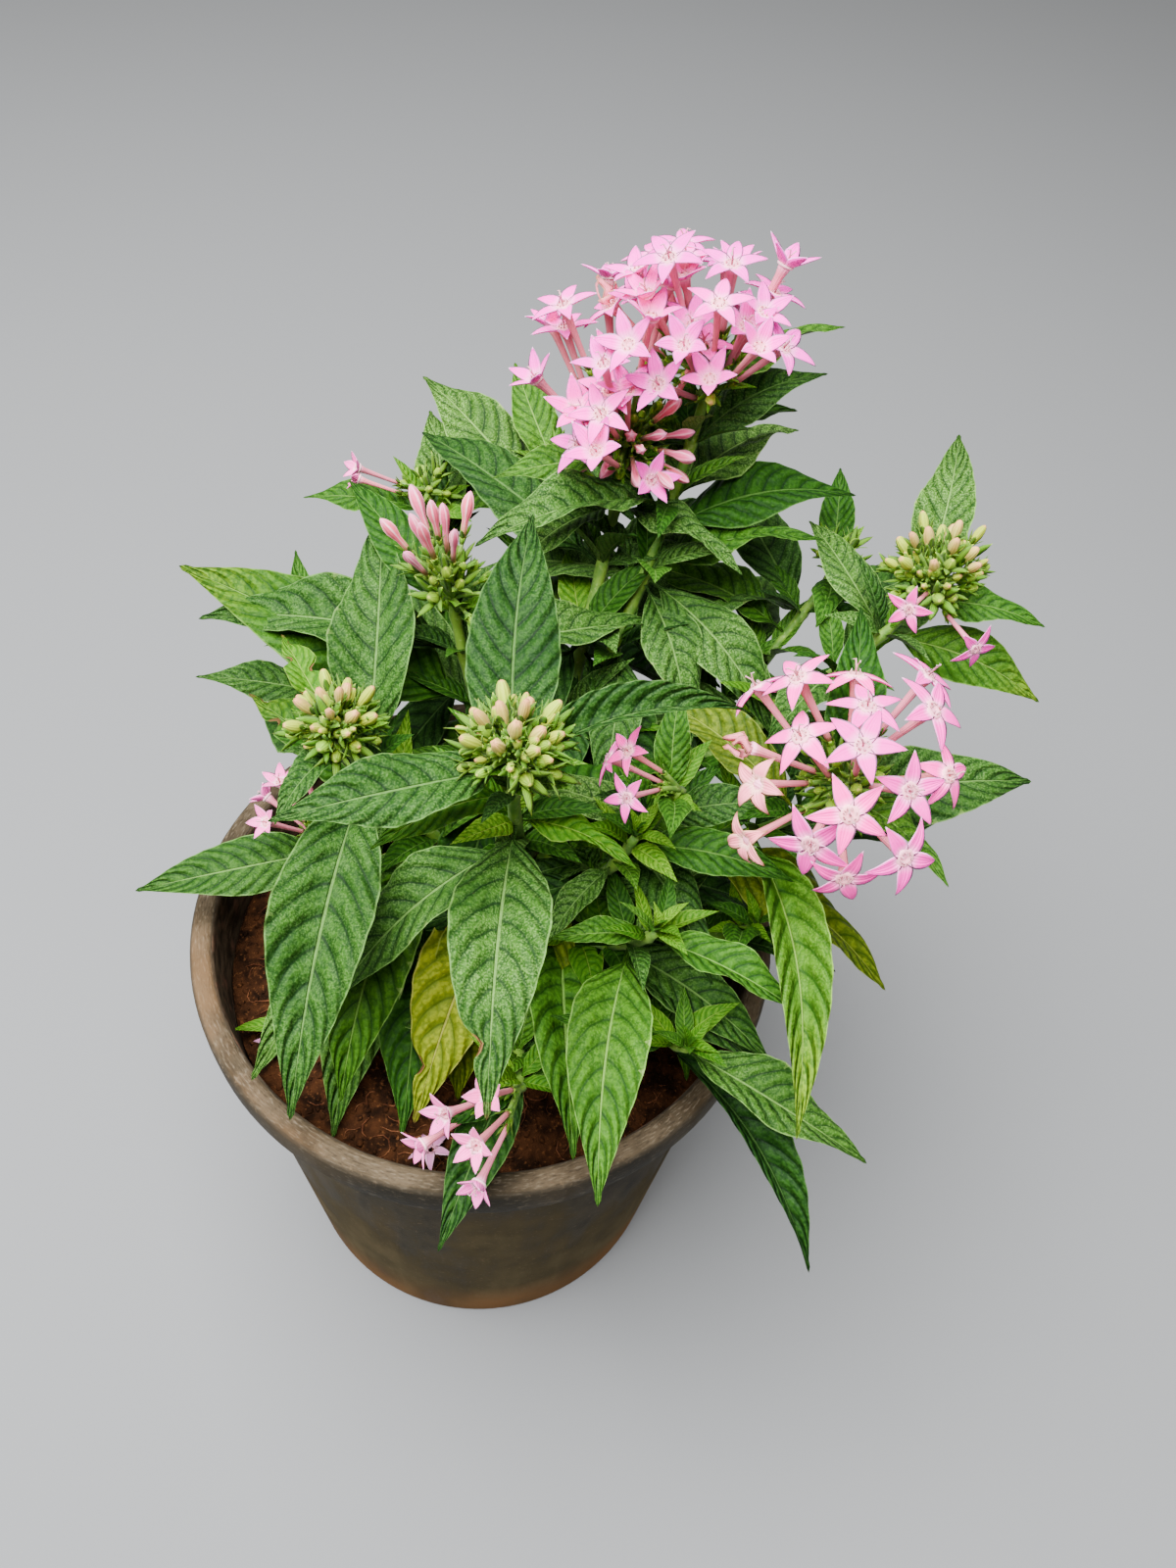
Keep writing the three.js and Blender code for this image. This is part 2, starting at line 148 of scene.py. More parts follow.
stem_foot = Vector((12, 10, soil_height + clearance))
stem_top = Vector((22, 27, 256))
stem_radius = 4.6
stem_top_radius = 2.6
flare = 3.4
flare_height = 9

arch_out = 0.75
arch_up = 0.42
bough_radius = 2.7
tip_radius = 1.3

first_drop = 6
drop_step = 13
drop_growth = 2.2
top_rise = 35
rise_step = 22
young_share = 0.6
grown_pair = 2
turn_jitter = 14
rise_jitter = 8
length_jitter = 0.08
leaf_droop = 40
reach_change = 0.08
golden_angle = 137.5

# %% The shoots
# Own leaves are (turn, rise, length), or None where the rule holds.
# Sprays are (kind, count, reach, turn, lean, spread).
shoots = {
    "tall": dict(
        tip=(43, 90, 323), fork=231, turn=155, pairs=5, leaf=74,
        leaves=[(195, 0, 44), (5, 5, 64), (225, 0, 50), (320, 0, 50), (135, 5, 88), (30, 0, 62),
                (5, -10, 94)],
        sprays=[("flowers", 10, 45, 95, 8, 41), ("flowers", 4, 33, 235, 50, 20),
                ("clubs", 8, 28, 300, 66, 34)]),
    "tall_back": dict(
        tip=(66, 92, 345), fork=225, turn=35, pairs=5, leaf=72,
        leaves=[(25, 15, 52), (205, 10, 40), (25, 0, 52), (165, -10, 46)],
        sprays=[("flowers", 13, 35, 215, 12, 48), ("buds", 3, 22, 250, 50, 30)]),
    "pink_buds": dict(
        tip=(-11, 41, 300), fork=216, turn=130, pairs=4, leaf=78,
        leaves=[(130, 20, 56), (320, 20, 34), (170, 0, 86), (15, 0, 66), (160, 15, 106)],
        sprays=[("clubs", 9, 33, 172, 15, 26), ("specks", 5, 16, 330, 45, 60)]),
    "left_buds": dict(
        tip=(-42, -2, 288), fork=195, turn=120, pairs=4, leaf=76,
        leaves=[(120, 10, 44), (240, 0, 34), (88, 20, 86), (260, -20, 102), (140, 5, 66), None,
                (250, -30, 95)],
        sprays=[("buds", 14, 17, 175, 4, 54)]),
    "front": dict(
        tip=(6, -38, 320), fork=209, turn=15, pairs=5, leaf=76,
        leaves=[(15, 5, 64), (200, 5, 62), (86, 25, 82), (210, 5, 42), (265, -5, 86), (330, 5, 38),
                (215, -25, 76), (35, -10, 70), (245, -30, 92)],
        sprays=[("buds", 14, 18, 95, 6, 50)]),
    "right": dict(
        tip=(98, -26, 296), fork=205, turn=75, pairs=5, leaf=78,
        leaves=[(78, 30, 56), (305, 5, 42), (130, 0, 60), (10, 0, 76), (272, -10, 92), (15, -10, 80),
                (330, -20, 78)],
        sprays=[("flowers", 17, 34, 226, 33, 66)]),
    "right_buds": dict(
        tip=(136, 45, 305), fork=213, turn=70, pairs=5, leaf=72,
        leaves=[(71, 25, 62), (345, 0, 40), (110, 8, 52), (345, -15, 58), (235, 10, 60), (40, 0, 70)],
        sprays=[("buds", 13, 22, 110, 10, 48), ("flowers", 2, 27, 262, 88, 38)]),
    "small": dict(
        tip=(52, -25, 292), fork=201, turn=80, pairs=3, leaf=52,
        leaves=[],
        sprays=[("flowers", 3, 24, 190, 50, 28)]),
    "middle": dict(
        tip=(41, -31, 278), fork=192, turn=345, pairs=4, leaf=62,
        leaves=[(345, 0, 48), (140, 5, 36), (228, -15, 34), (0, 0, 38)],
        sprays=[("specks", 3, 8, 0, 0, 60)]),
    "rosette": dict(
        tip=(47, -52, 262), fork=184, turn=330, pairs=4, leaf=66,
        leaves=[(330, 5, 50), (185, 5, 30), (260, -5, 78), (42, 5, 44), (325, -20, 68)],
        sprays=[("specks", 3, 8, 0, 0, 60)]),
    "low_right": dict(
        tip=(59, -69, 225), fork=176, turn=345, pairs=3, leaf=70,
        leaves=[(345, -10, 66), (170, 10, 40), (305, -20, 86), (110, 10, 45)],
        sprays=[("specks", 3, 8, 0, 0, 60)]),
    "low_front": dict(
        tip=(10, -75, 212), fork=176, turn=5, pairs=3, leaf=58,
        leaves=[(5, -5, 34), (215, 10, 30), (248, -5, 64), (60, 0, 40)],
        sprays=[("flowers", 5, 30, 233, 62, 34)]),
    "low_left": dict(
        tip=(-55, 16, 212), fork=176, turn=195, pairs=3, leaf=60,
        leaves=[(195, 0, 68), (10, 20, 45)],
        sprays=[("flowers", 4, 26, 165, 40, 36)]),
    "back_left": dict(
        tip=(-21, 110, 285), fork=199, turn=170, pairs=5, leaf=72,
        leaves=[(172, 0, 46), (350, 10, 40), (95, 20, 62)],
        sprays=[("specks", 7, 11, 0, 0, 70), ("flowers", 2, 26, 195, 66, 20)]),
    "back_right": dict(
        tip=(120, 85, 280), fork=190, turn=80, pairs=5, leaf=74,
        leaves=[(80, 25, 44), (250, 15, 40), (112, 12, 72), (15, 0, 70)],
        sprays=[("specks", 7, 11, 0, 0, 70)]),
    "back_middle": dict(
        tip=(26, 120, 290), fork=221, turn=110, pairs=5, leaf=78,
        leaves=[(112, 25, 52), (310, 10, 38), (130, 8, 82), (40, 5, 70), (335, -15, 76)],
        sprays=[("specks", 7, 11, 0, 0, 70)]),
    "inner_right": dict(
        tip=(82, -34, 236), fork=177, turn=60, pairs=3, leaf=58,
        leaves=[],
        sprays=[("specks", 3, 8, 0, 0, 60)]),
    "back_low": dict(
        tip=(58, 128, 232), fork=178, turn=50, pairs=4, leaf=70,
        leaves=[],
        sprays=[("specks", 3, 8, 0, 0, 60)]),
    "left_low": dict(
        tip=(-62, 78, 242), fork=182, turn=100, pairs=4, leaf=70,
        leaves=[],
        sprays=[("specks", 3, 8, 0, 0, 60)]),
}
print("shoots:", len(shoots), "in the table")


# %% Directions, curves and chance
def level(turn):
    return Vector((math.cos(math.radians(turn)), math.sin(math.radians(turn)), 0))


def aim(turn, rise):
    return level(turn) * math.cos(math.radians(rise)) + Vector((0, 0, math.sin(math.radians(rise))))


def bezier(start, control, end, share):
    return start * (1 - share) ** 2 + control * (2 * share * (1 - share)) + end * share ** 2


class Curve:
    """An arched curve, with its points found by their distance from its tip."""

    def __init__(self, start, control, end, steps=400):
        self.points = [bezier(start, control, end, i / steps) for i in range(steps + 1)]
        gaps = [(b - a).length for a, b in zip(self.points, self.points[1:])]
        self.travel = np.concatenate([[0], np.cumsum(gaps)])
        self.length = float(self.travel[-1])

    def at(self, drop):
        distance = min(max(self.length - drop, 0), self.length)
        ways = zip(*self.points)
        return Vector([float(np.interp(distance, self.travel, places)) for places in ways])


stem_control = Vector((stem_foot.x, stem_foot.y, (stem_foot.z + stem_top.z) / 2))


def stem_point(height):
    return bezier(stem_foot, stem_control, stem_top, (height - stem_foot.z) / (stem_top.z - stem_foot.z))


def shoot_curve(shoot):
    start, end = stem_point(shoot["fork"]), Vector(shoot["tip"])
    span = end - start
    return Curve(start, start + Vector((span.x * arch_out, span.y * arch_out, span.z * arch_up)), end)


def drop_of(pair):
    return first_drop + drop_step * pair + drop_growth * pair * pair


class Chance:
    """The row of chance numbers that the solids were grown with."""

    def __init__(self, seed):
        self.seed = seed

    def next(self):
        self.seed = (self.seed * 1664525 + 1013904223) % 4294967296
        return self.seed / 4294967296

    def jitter(self, spread):
        return (self.next() * 2 - 1) * spread


curves = {name: shoot_curve(shoot) for name, shoot in shoots.items()}
print("longest shoot", round(max(curve.length for curve in curves.values())), "mm")

# %% [markdown]
# ## Where each leaf, flower and bud stands
# A crowded leaf in the solids was turned or raised until it had room. The same changes are tried here in the
# same order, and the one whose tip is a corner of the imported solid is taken. A search tree over the solid's
# corners finds that quickly. A leaf or flower that the solids left out is left out here too.

# %% Walk through the rule and match it to the solids
tries = [(0, 0), (0, 8), (8, 0), (-8, 0), (0, -8), (16, 0), (-16, 0), (0, 16), (16, 16), (-16, 16),
         (28, 8), (-28, 8), (0, 30), (28, 24), (-28, 24)]
match_reach = 0.5
flower_front = 0.7
full_heads = ("tall", "tall_back")
bud_lengths = {"clubs": 20, "buds": 9, "specks": 5}


def corner_tree(node):
    corners = frame["nodes"][node].data.vertices
    tree = KDTree(len(corners))
    for index, corner in enumerate(corners):
        tree.insert(corner.co / MM, index)
    tree.balance()
    return tree


def leaf_tip(root, turn, rise, length):
    droop = math.radians(leaf_droop)
    return root + aim(turn, rise) * (length * math.sin(droop / 2) / (droop / 2))


def cap_directions(count, turn, lean, spread, shift=0.5):
    tilt = Vector((0, 0, 1)).rotation_difference(aim(turn, 90 - lean))
    return [tilt @ aim(golden_angle * i, 90 - spread * math.sqrt((i + shift) / count)) for i in range(count)]


chance = Chance(7)
leaf_rows = []
flower_rows = []
bud_rows = []
for name, shoot in shoots.items():
    corners = corner_tree("foliage_" + name)
    hub = Vector(shoot["tip"])
    for kind, count, reach, turn, lean, spread in shoot["sprays"]:
        in_flower = kind == "flowers"
        for i, way in enumerate(cap_directions(count, turn, lean, spread)):
            own = reach * (1 + (reach_change if i % 2 == 0 else -reach_change))
            spin = chance.next() * 360 if in_flower else 0
            front = hub + way * (own + (flower_front if in_flower else 0))
            if corners.find(front)[2] > match_reach and not (in_flower and name in full_heads):
                continue
            row = dict(shoot=name, hub=hub, way=way, reach=own, spin=spin, kind=kind)
            (flower_rows if in_flower else bud_rows).append(row)
    for number in range(shoot["pairs"] * 2):
        pair = number // 2
        grown = young_share + (1 - young_share) * min(1, pair / grown_pair)
        by_rule = (
            shoot["turn"] + 90 * pair + 180 * (number % 2) + chance.jitter(turn_jitter),
            top_rise - rise_step * pair + chance.jitter(rise_jitter),
            shoot["leaf"] * grown * (1 + chance.jitter(length_jitter)),
        )
        own = shoot["leaves"][number] if number < len(shoot["leaves"]) else None
        turn, rise, length = own or by_rule
        root = curves[name].at(drop_of(pair))
        for more_turn, more_rise in tries:
            tip = leaf_tip(root, turn + more_turn, rise + more_rise, length)
            if corners.find(tip)[2] < match_reach:
                leaf_rows.append(dict(shoot=name, pair=pair, number=number, root=root,
                                      turn=turn + more_turn, rise=rise + more_rise, length=length))
                break
print("matched", len(leaf_rows), "leaves,", len(flower_rows), "flowers and", len(bud_rows), "buds")

# %% [markdown]
# ## Building trees of nodes
# Materials and geometry trees are both made of nodes and links. One small helper adds a node, sets its
# options and fills its inputs: a socket is linked, and any other value is written into the input. In a
# material, a value adds and multiplies like a number. A finish starts from two colours and gets one coat
# after another, each as strong as its value says.

# %% Helpers for nodes
def node(tree, kind, inputs=None, **options):
    made = tree.nodes.new(kind)
    for option, value in options.items():
        setattr(made, option, value)
    for key, value in (inputs or {}).items():
        value = value.socket if isinstance(value, Value) else value
        if isinstance(value, bpy.types.NodeSocket):
            tree.links.new(value, made.inputs[key])
        else:
            made.inputs[key].default_value = value
    return made


def calc(tree, operation, *terms):
    return node(tree, "ShaderNodeMath", dict(enumerate(terms)), operation=operation).outputs[0]


class Value:
    """A number in a material's tree."""

    def __init__(self, tree, socket):
        self.tree, self.socket = tree, socket

    def calc(self, operation, *terms):
        return Value(self.tree, calc(self.tree, operation, self, *terms))

    def __add__(self, term):
        return self.calc("ADD", term)

    def __sub__(self, term):
        return self.calc("SUBTRACT", term)

    def __mul__(self, term):
        return self.calc("MULTIPLY", term)

    def __truediv__(self, term):
        return self.calc("DIVIDE", term)

    def ramp(self, low, high, start=0.0, end=1.0):
        """A smooth step of the value from one level to another."""
        sockets = {"Value": self, "From Min": low, "From Max": high, "To Min": start, "To Max": end}
        step = node(self.tree, "ShaderNodeMapRange", sockets, interpolation_type="SMOOTHSTEP")
        return Value(self.tree, step.outputs[0])


print("helpers for nodes ready")


# %% Helpers for finishes
class Finish:
    """A material under way: its tree, its shader and the colour laid so far."""

    def __init__(self, name, roughness, sheen=0.0, gloss=0.5):
        self.material = bpy.data.materials.new(name)
        self.material.use_nodes = True
        self.tree = self.material.node_tree
        self.shader = self.tree.nodes["Principled BSDF"]
        self.shader.inputs["Roughness"].default_value = roughness
        self.shader.inputs["Sheen Weight"].default_value = sheen
        self.shader.inputs["Specular IOR Level"].default_value = gloss
        self.place = node(self.tree, "ShaderNodeTexCoord").outputs["Object"]

    def value(self, kind, output, inputs=None, **options):
        return Value(self.tree, node(self.tree, kind, inputs, **options).outputs[output])

    def attribute(self, name):
        return self.value("ShaderNodeAttribute", "Fac", attribute_name=name)

    def split(self, place):
        parts = node(self.tree, "ShaderNodeSeparateXYZ", {0: place}).outputs
        return [Value(self.tree, parts[axis]) for axis in range(3)]

    def blade_place(self):
        """How far a point is along and across a blade, and how far from its midrib."""
        along, across, _ = self.split(node(self.tree, "ShaderNodeUVMap", uv_map="leaf").outputs[0])
        return along, across, (across * 2.0 - 1.0).calc("ABSOLUTE")

    def noise(self, scale, detail, stretch=None, place=None):
        place = self.place if place is None else place
        if stretch:
            place = node(self.tree, "ShaderNodeMapping", {"Vector": place, "Scale": stretch}).outputs[0]
        return self.value("ShaderNodeTexNoise", "Fac", {"Vector": place, "Scale": scale, "Detail": detail})

    def blend(self, strength, first, second):
        first, second = [(*paint, 1) if isinstance(paint, tuple) else paint for paint in (first, second)]
        sockets = {0: strength, 6: first, 7: second}
        return node(self.tree, "ShaderNodeMix", sockets, data_type="RGBA").outputs[2]

    def start(self, strength, first, second):
        self.body = self.blend(strength, first, second)

    def coat(self, strength, paint):
        self.body = self.blend(strength, self.body, paint)

    def shade(self, hue, value):
        sockets = {"Hue": hue, "Value": value, "Color": self.body}
        self.body = node(self.tree, "ShaderNodeHueSaturation", sockets).outputs[0]

    def done(self, height, depth, strength=1.0):
        """Gives the shader its colour and its relief, and hands the material over."""
        sockets = {"Height": height, "Distance": depth * MM, "Strength": strength}
        bump = node(self.tree, "ShaderNodeBump", sockets)
        self.tree.links.new(self.body, self.shader.inputs["Base Color"])
        self.tree.links.new(bump.outputs[0], self.shader.inputs["Normal"])
        return self.material


print("helpers for finishes ready")

# %% [markdown]
# ## Leaf finish
# A pentas leaf is quilted: about eleven side veins on each half leave the midrib, arc towards the tip and
# lie in narrow furrows, and the blade swells between them in a fine pebbled skin. The furrows come from the
# leaf's own UV map, where U runs along the midrib and V across the blade, and the pebbling from a cell
# pattern on Object coordinates. Shade is painted dark into the furrows and into the creases between the
# pebbles, and a highlight is painted light on the swellings. Short pale hairs catch the light on the
# swellings, the midrib and the margin, most on the upper leaves. Each kind of leaf has plain base colours,
# from young green to the yellow of old leaves, and each leaf has its own tint, which also makes it lighter
# or darker.

# %% Leaf materials
vein_count = 11
vein_arc = 0.18
vein_bow = 1.4
vein_wander = 0.24
half_shift = 0.35
# Painted shade in the side-vein furrows: its edge, and its fading towards the margin.
furrow_shade_edge = (0.19, 0.03)
furrow_shade_fade = (1.0, 0.55, 0.3, 1.0)
midrib_edge = (0.05, 0.02)
margin_edge = (0.95, 0.98)
tip_part = (0.6, 1.0, 0.0, 0.85)
# Painted shade in the creases between the pebbles:
pebble_shade_edge = (0.3, 0.6)
pebble_shade_strength = 0.75
hair_grains = (0.43, 0.69)
hair_heights = (0.19, 0.3, 0.5, 1.35)
scorch_edge = (0.75, 0.95)
wander_scale = 60
patch_scale = 45
hair_scale = 1900
pebble_scale = 760
leaf_relief = 0.9
usual_leaf = 0.085
leaf_roughness = 0.6
leaf_gloss = 0.09
withered_brown = (0.2, 0.1, 0.035)


def leaf_finish(name, furrow_shade_colour, deep, light, hair, hairs=0.36, tip=None, under=False):
    finish = Finish(name, leaf_roughness, gloss=leaf_gloss)
    along, across, side = finish.blade_place()
    tint, brown, own_size = [finish.attribute(key) for key in ("tint", "brown", "size")]
    wander = finish.noise(wander_scale, 2) * vein_wander - vein_wander / 2
    half = across.calc("GREATER_THAN", 0.5) * half_shift
    step = (along - side.calc("POWER", vein_bow) * vein_arc) * vein_count + (half + wander)
    swell = step.calc("PINGPONG", 0.5) * 2.0
    swelling_and_highlight = swell.ramp(0.0, 0.75)
    midrib, margin = side.ramp(*midrib_edge), side.ramp(*margin_edge)
    patches, grain = finish.noise(patch_scale, 3), finish.noise(hair_scale, 2)
    pebbles = {"Vector": finish.place, "Scale": pebble_scale}
    cells = finish.value("ShaderNodeTexVoronoi", 0, pebbles, feature="SMOOTH_F1")

    # Painted highlight: the swellings between the side veins get the lighter colour, mixed with a random
    # patchy tone.
    finish.start(swelling_and_highlight * 0.6 + (patches * 0.9 - 0.3), deep, light)
    if tip:
        finish.coat(along.ramp(*tip_part), tip)
    # Painted shade: the creases between the pebbles get the deep colour.
    finish.coat(cells.ramp(*pebble_shade_edge) * pebble_shade_strength, deep)
    upper = finish.split(finish.place)[2].ramp(*hair_heights)
    fuzz = grain.ramp(*hair_grains) * patches.ramp(0.3, 0.62, 0.35, 1.0) * upper * (tint * 0.8 + 0.6)
    finish.coat(fuzz * hairs, hair)
    # Painted shade: the furrows are darkened, less so near the margin and a little less in some patches.
    furrow_shade_mask = swell.ramp(*furrow_shade_edge) * side.ramp(*furrow_shade_fade)
    finish.coat(furrow_shade_mask * patches.ramp(0.3, 0.6, 0.95, 0.75), furrow_shade_colour)
    finish.coat(midrib * 0.55, hair)
    finish.coat(margin * 0.5, hair)
    finish.coat((patches * 0.6 + brown).ramp(*scorch_edge), withered_brown)
    finish.shade(tint * -0.022 + 0.511, tint * 0.45 + 0.34)

    raised = -0.5 if under else 1.0
    veins = (midrib * (-0.5 * raised) + swelling_and_highlight * (0.8 * raised)) * (own_size / usual_leaf)
    return finish.done(veins + cells * -0.4 + grain * 0.15, leaf_relief)


# Colours of the painted shade in the furrows, of the low and the high parts of the blade, whose high part is
# also the painted highlight on the swellings, and of its hairs.
leaf_paints = {
    "deep": ((0.003, 0.022, 0.002), (0.008, 0.048, 0.004), (0.045, 0.15, 0.012), (0.22, 0.44, 0.1)),
    "fresh": ((0.004, 0.032, 0.002), (0.012, 0.07, 0.003), (0.048, 0.18, 0.006), (0.22, 0.46, 0.08), 0.14),
    "turning": ((0.006, 0.045, 0.002), (0.018, 0.09, 0.003), (0.06, 0.2, 0.006), (0.26, 0.48, 0.08), 0.14,
                (0.2, 0.36, 0.01)),
    "young": ((0.02, 0.11, 0.002), (0.04, 0.17, 0.003), (0.13, 0.33, 0.007), (0.36, 0.56, 0.08), 0.18),
    "olive": ((0.03, 0.07, 0.002), (0.05, 0.105, 0.003), (0.2, 0.28, 0.006), (0.4, 0.5, 0.07), 0.18),
    "yellow": ((0.06, 0.105, 0.003), (0.105, 0.17, 0.004), (0.33, 0.41, 0.008), (0.5, 0.5, 0.1), 0.15),
}
leaf_finishes = {kind: leaf_finish("leaf_" + kind, *paints) for kind, paints in leaf_paints.items()}
leaf_under = leaf_finish("leaf_under", (0.04, 0.11, 0.015), (0.05, 0.13, 0.02), (0.12, 0.25, 0.035),
                         (0.3, 0.44, 0.13), under=True)
print("leaf finishes:", ", ".join(leaf_finishes))

# %% [markdown]
# ## Leaf shapes
# The blade is widest before its middle, draws out to a long point and narrows to a short stalk. Both halves
# rise from the midrib like a gull's wings, and the margin waves. All shapes keep the arched midrib of the
# leaves in the solids. The large leaves have a fine grid, whose upper side swells between the veins, and
# eight shapes: one is nibbled and brown on one side, one is ragged, and one has its halves folded up. Small
# leaves grow in hundreds, so theirs is coarser: a closed skin of about fifty faces.

# %% Leaf shapes
leaf_breadth = 0.31
stalk_share = 0.1
stalk_half = 0.011
stalk_end = -0.012
blade_thickness = 0.006
nibble_width = 0.035
quilt_height = 0.1
margin_scallop = 0.012
margin_ripple = 0.02
fine_stations = [0.03 + 0.0225 * k for k in range(42)] + [0.98]
fine_columns = (-1, -0.8, -0.6, -0.35, 0, 0.35, 0.6, 0.8, 1)
coarse_stations = (0.04, 0.13, 0.26, 0.42, 0.6, 0.8)
coarse_columns = (-1, -0.5, 0, 0.5, 1)
shape_sets = []


def half_breadth(place):
    blade = max(0.0, (place - stalk_share) / (1 - stalk_share))
    return leaf_breadth / 2 * math.sin(math.pi * blade ** 0.72) ** 1.12 * (1.06 - 0.12 * blade)


def new_object(name, mesh):
    return bpy.data.objects.new(name, mesh)


def shape_set(name, shapes):
    """A collection of shapes that a tree picks from, in the order of their names."""
    collection = bpy.data.collections.new(name)
    for shape in shapes:
        collection.objects.link(shape)
    shape_sets.append(collection)
    return collection


def leaf_shape(name, fold, arch, twist, sway, wave, waves, phase, nibbles=(), fine=True):
    """A leaf of length 1. Fold lifts both halves, arch swells them, sway bends the midrib sideways."""
    droop = math.radians(leaf_droop)
    start = droop / 2
    stations = fine_stations if fine else coarse_stations
    tops = fine_columns if fine else coarse_columns
    unders = (0.5, 0, -0.5) if fine else (0,)
    ring = len(tops) + len(unders)
    points, faces, flat, under, brown = [(stalk_end, 0, 0)], [], [(0, 0.5)], [], [0.0]
    for place in stations:
        slope = start - droop * place
        x = (math.sin(start) - math.sin(slope)) / droop
        z = (math.cos(slope) - math.cos(start)) / droop
        up = Vector((-math.sin(slope), 0, math.cos(slope)))
        turn = Quaternion((math.cos(slope), 0, math.sin(slope)), math.radians(twist) * place)
        middle = Vector((x, sway * math.sin(math.pi * place), z))
        for row, columns in ((0, tops), (1, unders)):
            for v in columns:
                rim = abs(v)
                bitten = max([depth * math.exp(-((place - spot) / nibble_width) ** 2)
                              for spot, depth, half in nibbles if half * v > 0], default=0)
                half = max(stalk_half, half_breadth(place) * (1 - bitten))
                scallops = vein_count * math.tau * place
                half *= 1 + margin_scallop * math.sin(scallops + (1 if v > 0 else 2.4)) * rim
                lift = math.sin(math.radians(fold)) * rim + arch * math.sin(math.pi * rim ** 0.8)
                lift += wave * rim ** 2 * math.sin(waves * math.tau * place + phase * (1 if v > 0 else -1.4))
                lift += margin_ripple * rim ** 3 * math.sin(scallops + phase)
                if fine and row == 0:
                    step = (place - vein_arc * rim ** vein_bow) * vein_count + (half_shift if v > 0 else 0)
                    lift += quilt_height * math.sin(math.pi * step) ** 2 * math.sin(math.pi * rim)
                side = v * half * math.cos(math.radians(fold))
                offset = turn @ (Vector((0, side, 0)) + up * (half * lift - row * blade_thickness))
                points.append(middle + offset)
                flat.append((place, (v + 1) / 2))
                brown.append(min(1.0, 2.2 * bitten * rim ** 2 + (0.5 * (place > 0.94) if nibbles else 0)))
    points.append((math.sin(start) * 2 / droop, 0, 0))
    flat.append((1, 0.5))
    brown.append(0.6 if nibbles else 0.0)
    last, end = len(points) - 1, len(stations) - 1

    def at(row, k):
        return 1 + row * ring + k % ring

    for k in range(ring):
        faces.append((0, at(0, k), at(0, k + 1)))
        faces += [(at(row, k), at(row + 1, k), at(row + 1, k + 1), at(row, k + 1)) for row in range(end)]
        faces.append((last, at(end, k + 1), at(end, k)))
        under += [k >= len(tops) - 1] * (len(stations) + 1)
    mesh = bpy.data.meshes.new(name)
    mesh.from_pydata(points, [], faces)
    uv = mesh.uv_layers.new(name="leaf")
    for loop in mesh.loops:
        uv.data[loop.index].uv = flat[loop.vertex_index]
    corners = (0, len(tops) - 1)
    rim = [all(vertex in (0, last) or (vertex - 1) % ring in corners for vertex in edge.vertices)
           for edge in mesh.edges]
    for key, kind, domain, values in (("under", "BOOLEAN", "FACE", under), ("brown", "FLOAT", "POINT", brown),
                                      ("sharp_edge", "BOOLEAN", "EDGE", rim)):
        mesh.attributes.new(key, kind, domain).data.foreach_set("value", values)
    mesh.shade_smooth()
    return new_object(name, mesh)


whole_shapes, nibbled, ragged, folded = 5, 5, 6, 7
leaf_kinds = shape_set("leaf_shapes", [leaf_shape(name, *values) for name, values in {
    "leaf_1": (14, 0.14, 8, 0.02, 0.16, 1.6, 0.4),
    "leaf_2": (22, 0.10, -12, -0.03, 0.24, 2.1, 1.9),
    "leaf_3": (6, 0.18, 14, 0.035, 0.29, 1.3, 3.1),
    "leaf_4": (28, 0.08, -5, -0.015, 0.2, 2.6, 5.0),
    "leaf_5": (10, 0.16, -16, 0.04, 0.33, 1.8, 4.1),
    "leaf_6": (17, 0.12, 6, -0.02, 0.22, 1.7, 2.6, ((0.8, 0.6, -1),)),
    "leaf_7": (20, 0.12, 8, 0.03, 0.3, 2.1, 1.2,
               ((0.4, 0.4, 1), (0.58, 0.6, -1), (0.72, 0.7, 1), (0.88, 0.7, -1))),
    "leaf_8": (56, 0.05, 6, 0.06, 0.1, 1.4, 0.8),
}.items()])
small_kinds = shape_set("small_leaf_shapes", [leaf_shape(name, *values, fine=False) for name, values in {
    "small_1": (20, 0.12, 8, 0.02, 0.12, 1.2, 0.4),
    "small_2": (30, 0.1, -10, -0.03, 0.1, 1.4, 2.0),
    "small_3": (12, 0.16, 12, 0.03, 0.2, 1.1, 3.4),
}.items()])

# %% [markdown]
# ## Growing many copies with Geometry Nodes
# Leaves, petals, tubes, sepals and buds all repeat. For each kind the points where they stand carry their
# turn, size and shape number. One tree puts a shape from a collection on every point, changes its roll and
# size a little by a fixed seed, makes the copies real and gives them their finish.

# %% The tree that plants shapes on points
def new_tree(name, sockets):
    tree = bpy.data.node_groups.new(name, "GeometryNodeTree")
    tree.interface.new_socket("Geometry", in_out="INPUT", socket_type="NodeSocketGeometry")
    for label, kind in sockets.items():
        tree.interface.new_socket(label, in_out="INPUT", socket_type="NodeSocket" + kind)
    tree.interface.new_socket("Geometry", in_out="OUTPUT", socket_type="NodeSocketGeometry")
    return tree, node(tree, "NodeGroupInput").outputs


def attribute(tree, name, kind):
    return node(tree, "GeometryNodeInputNamedAttribute", {"Name": name}, data_type=kind).outputs[0]


def any_between(tree, low, high, seed):
    sockets = {2: low, 3: high, "Seed": seed}
    return node(tree, "FunctionNodeRandomValue", sockets, data_type="FLOAT").outputs[1]


def put_shapes(tree, given, inputs):
    """Puts one of the given shapes on every point."""
    shapes = node(tree, "GeometryNodeCollectionInfo",
                  {"Collection": given["Shapes"], "Separate Children": True, "Reset Children": False})
    inputs = {"Instance": shapes.outputs[0], "Pick Instance": True, **inputs}
    return node(tree, "GeometryNodeInstanceOnPoints", inputs).outputs[0]


def make_real(tree, given, copies):
    """Makes the copies real and gives them their finish."""
    real = node(tree, "GeometryNodeRealizeInstances", {"Geometry": copies}).outputs[0]
    return node(tree, "GeometryNodeSetMaterial", {"Geometry": real, "Material": given["Finish"]}).outputs[0]


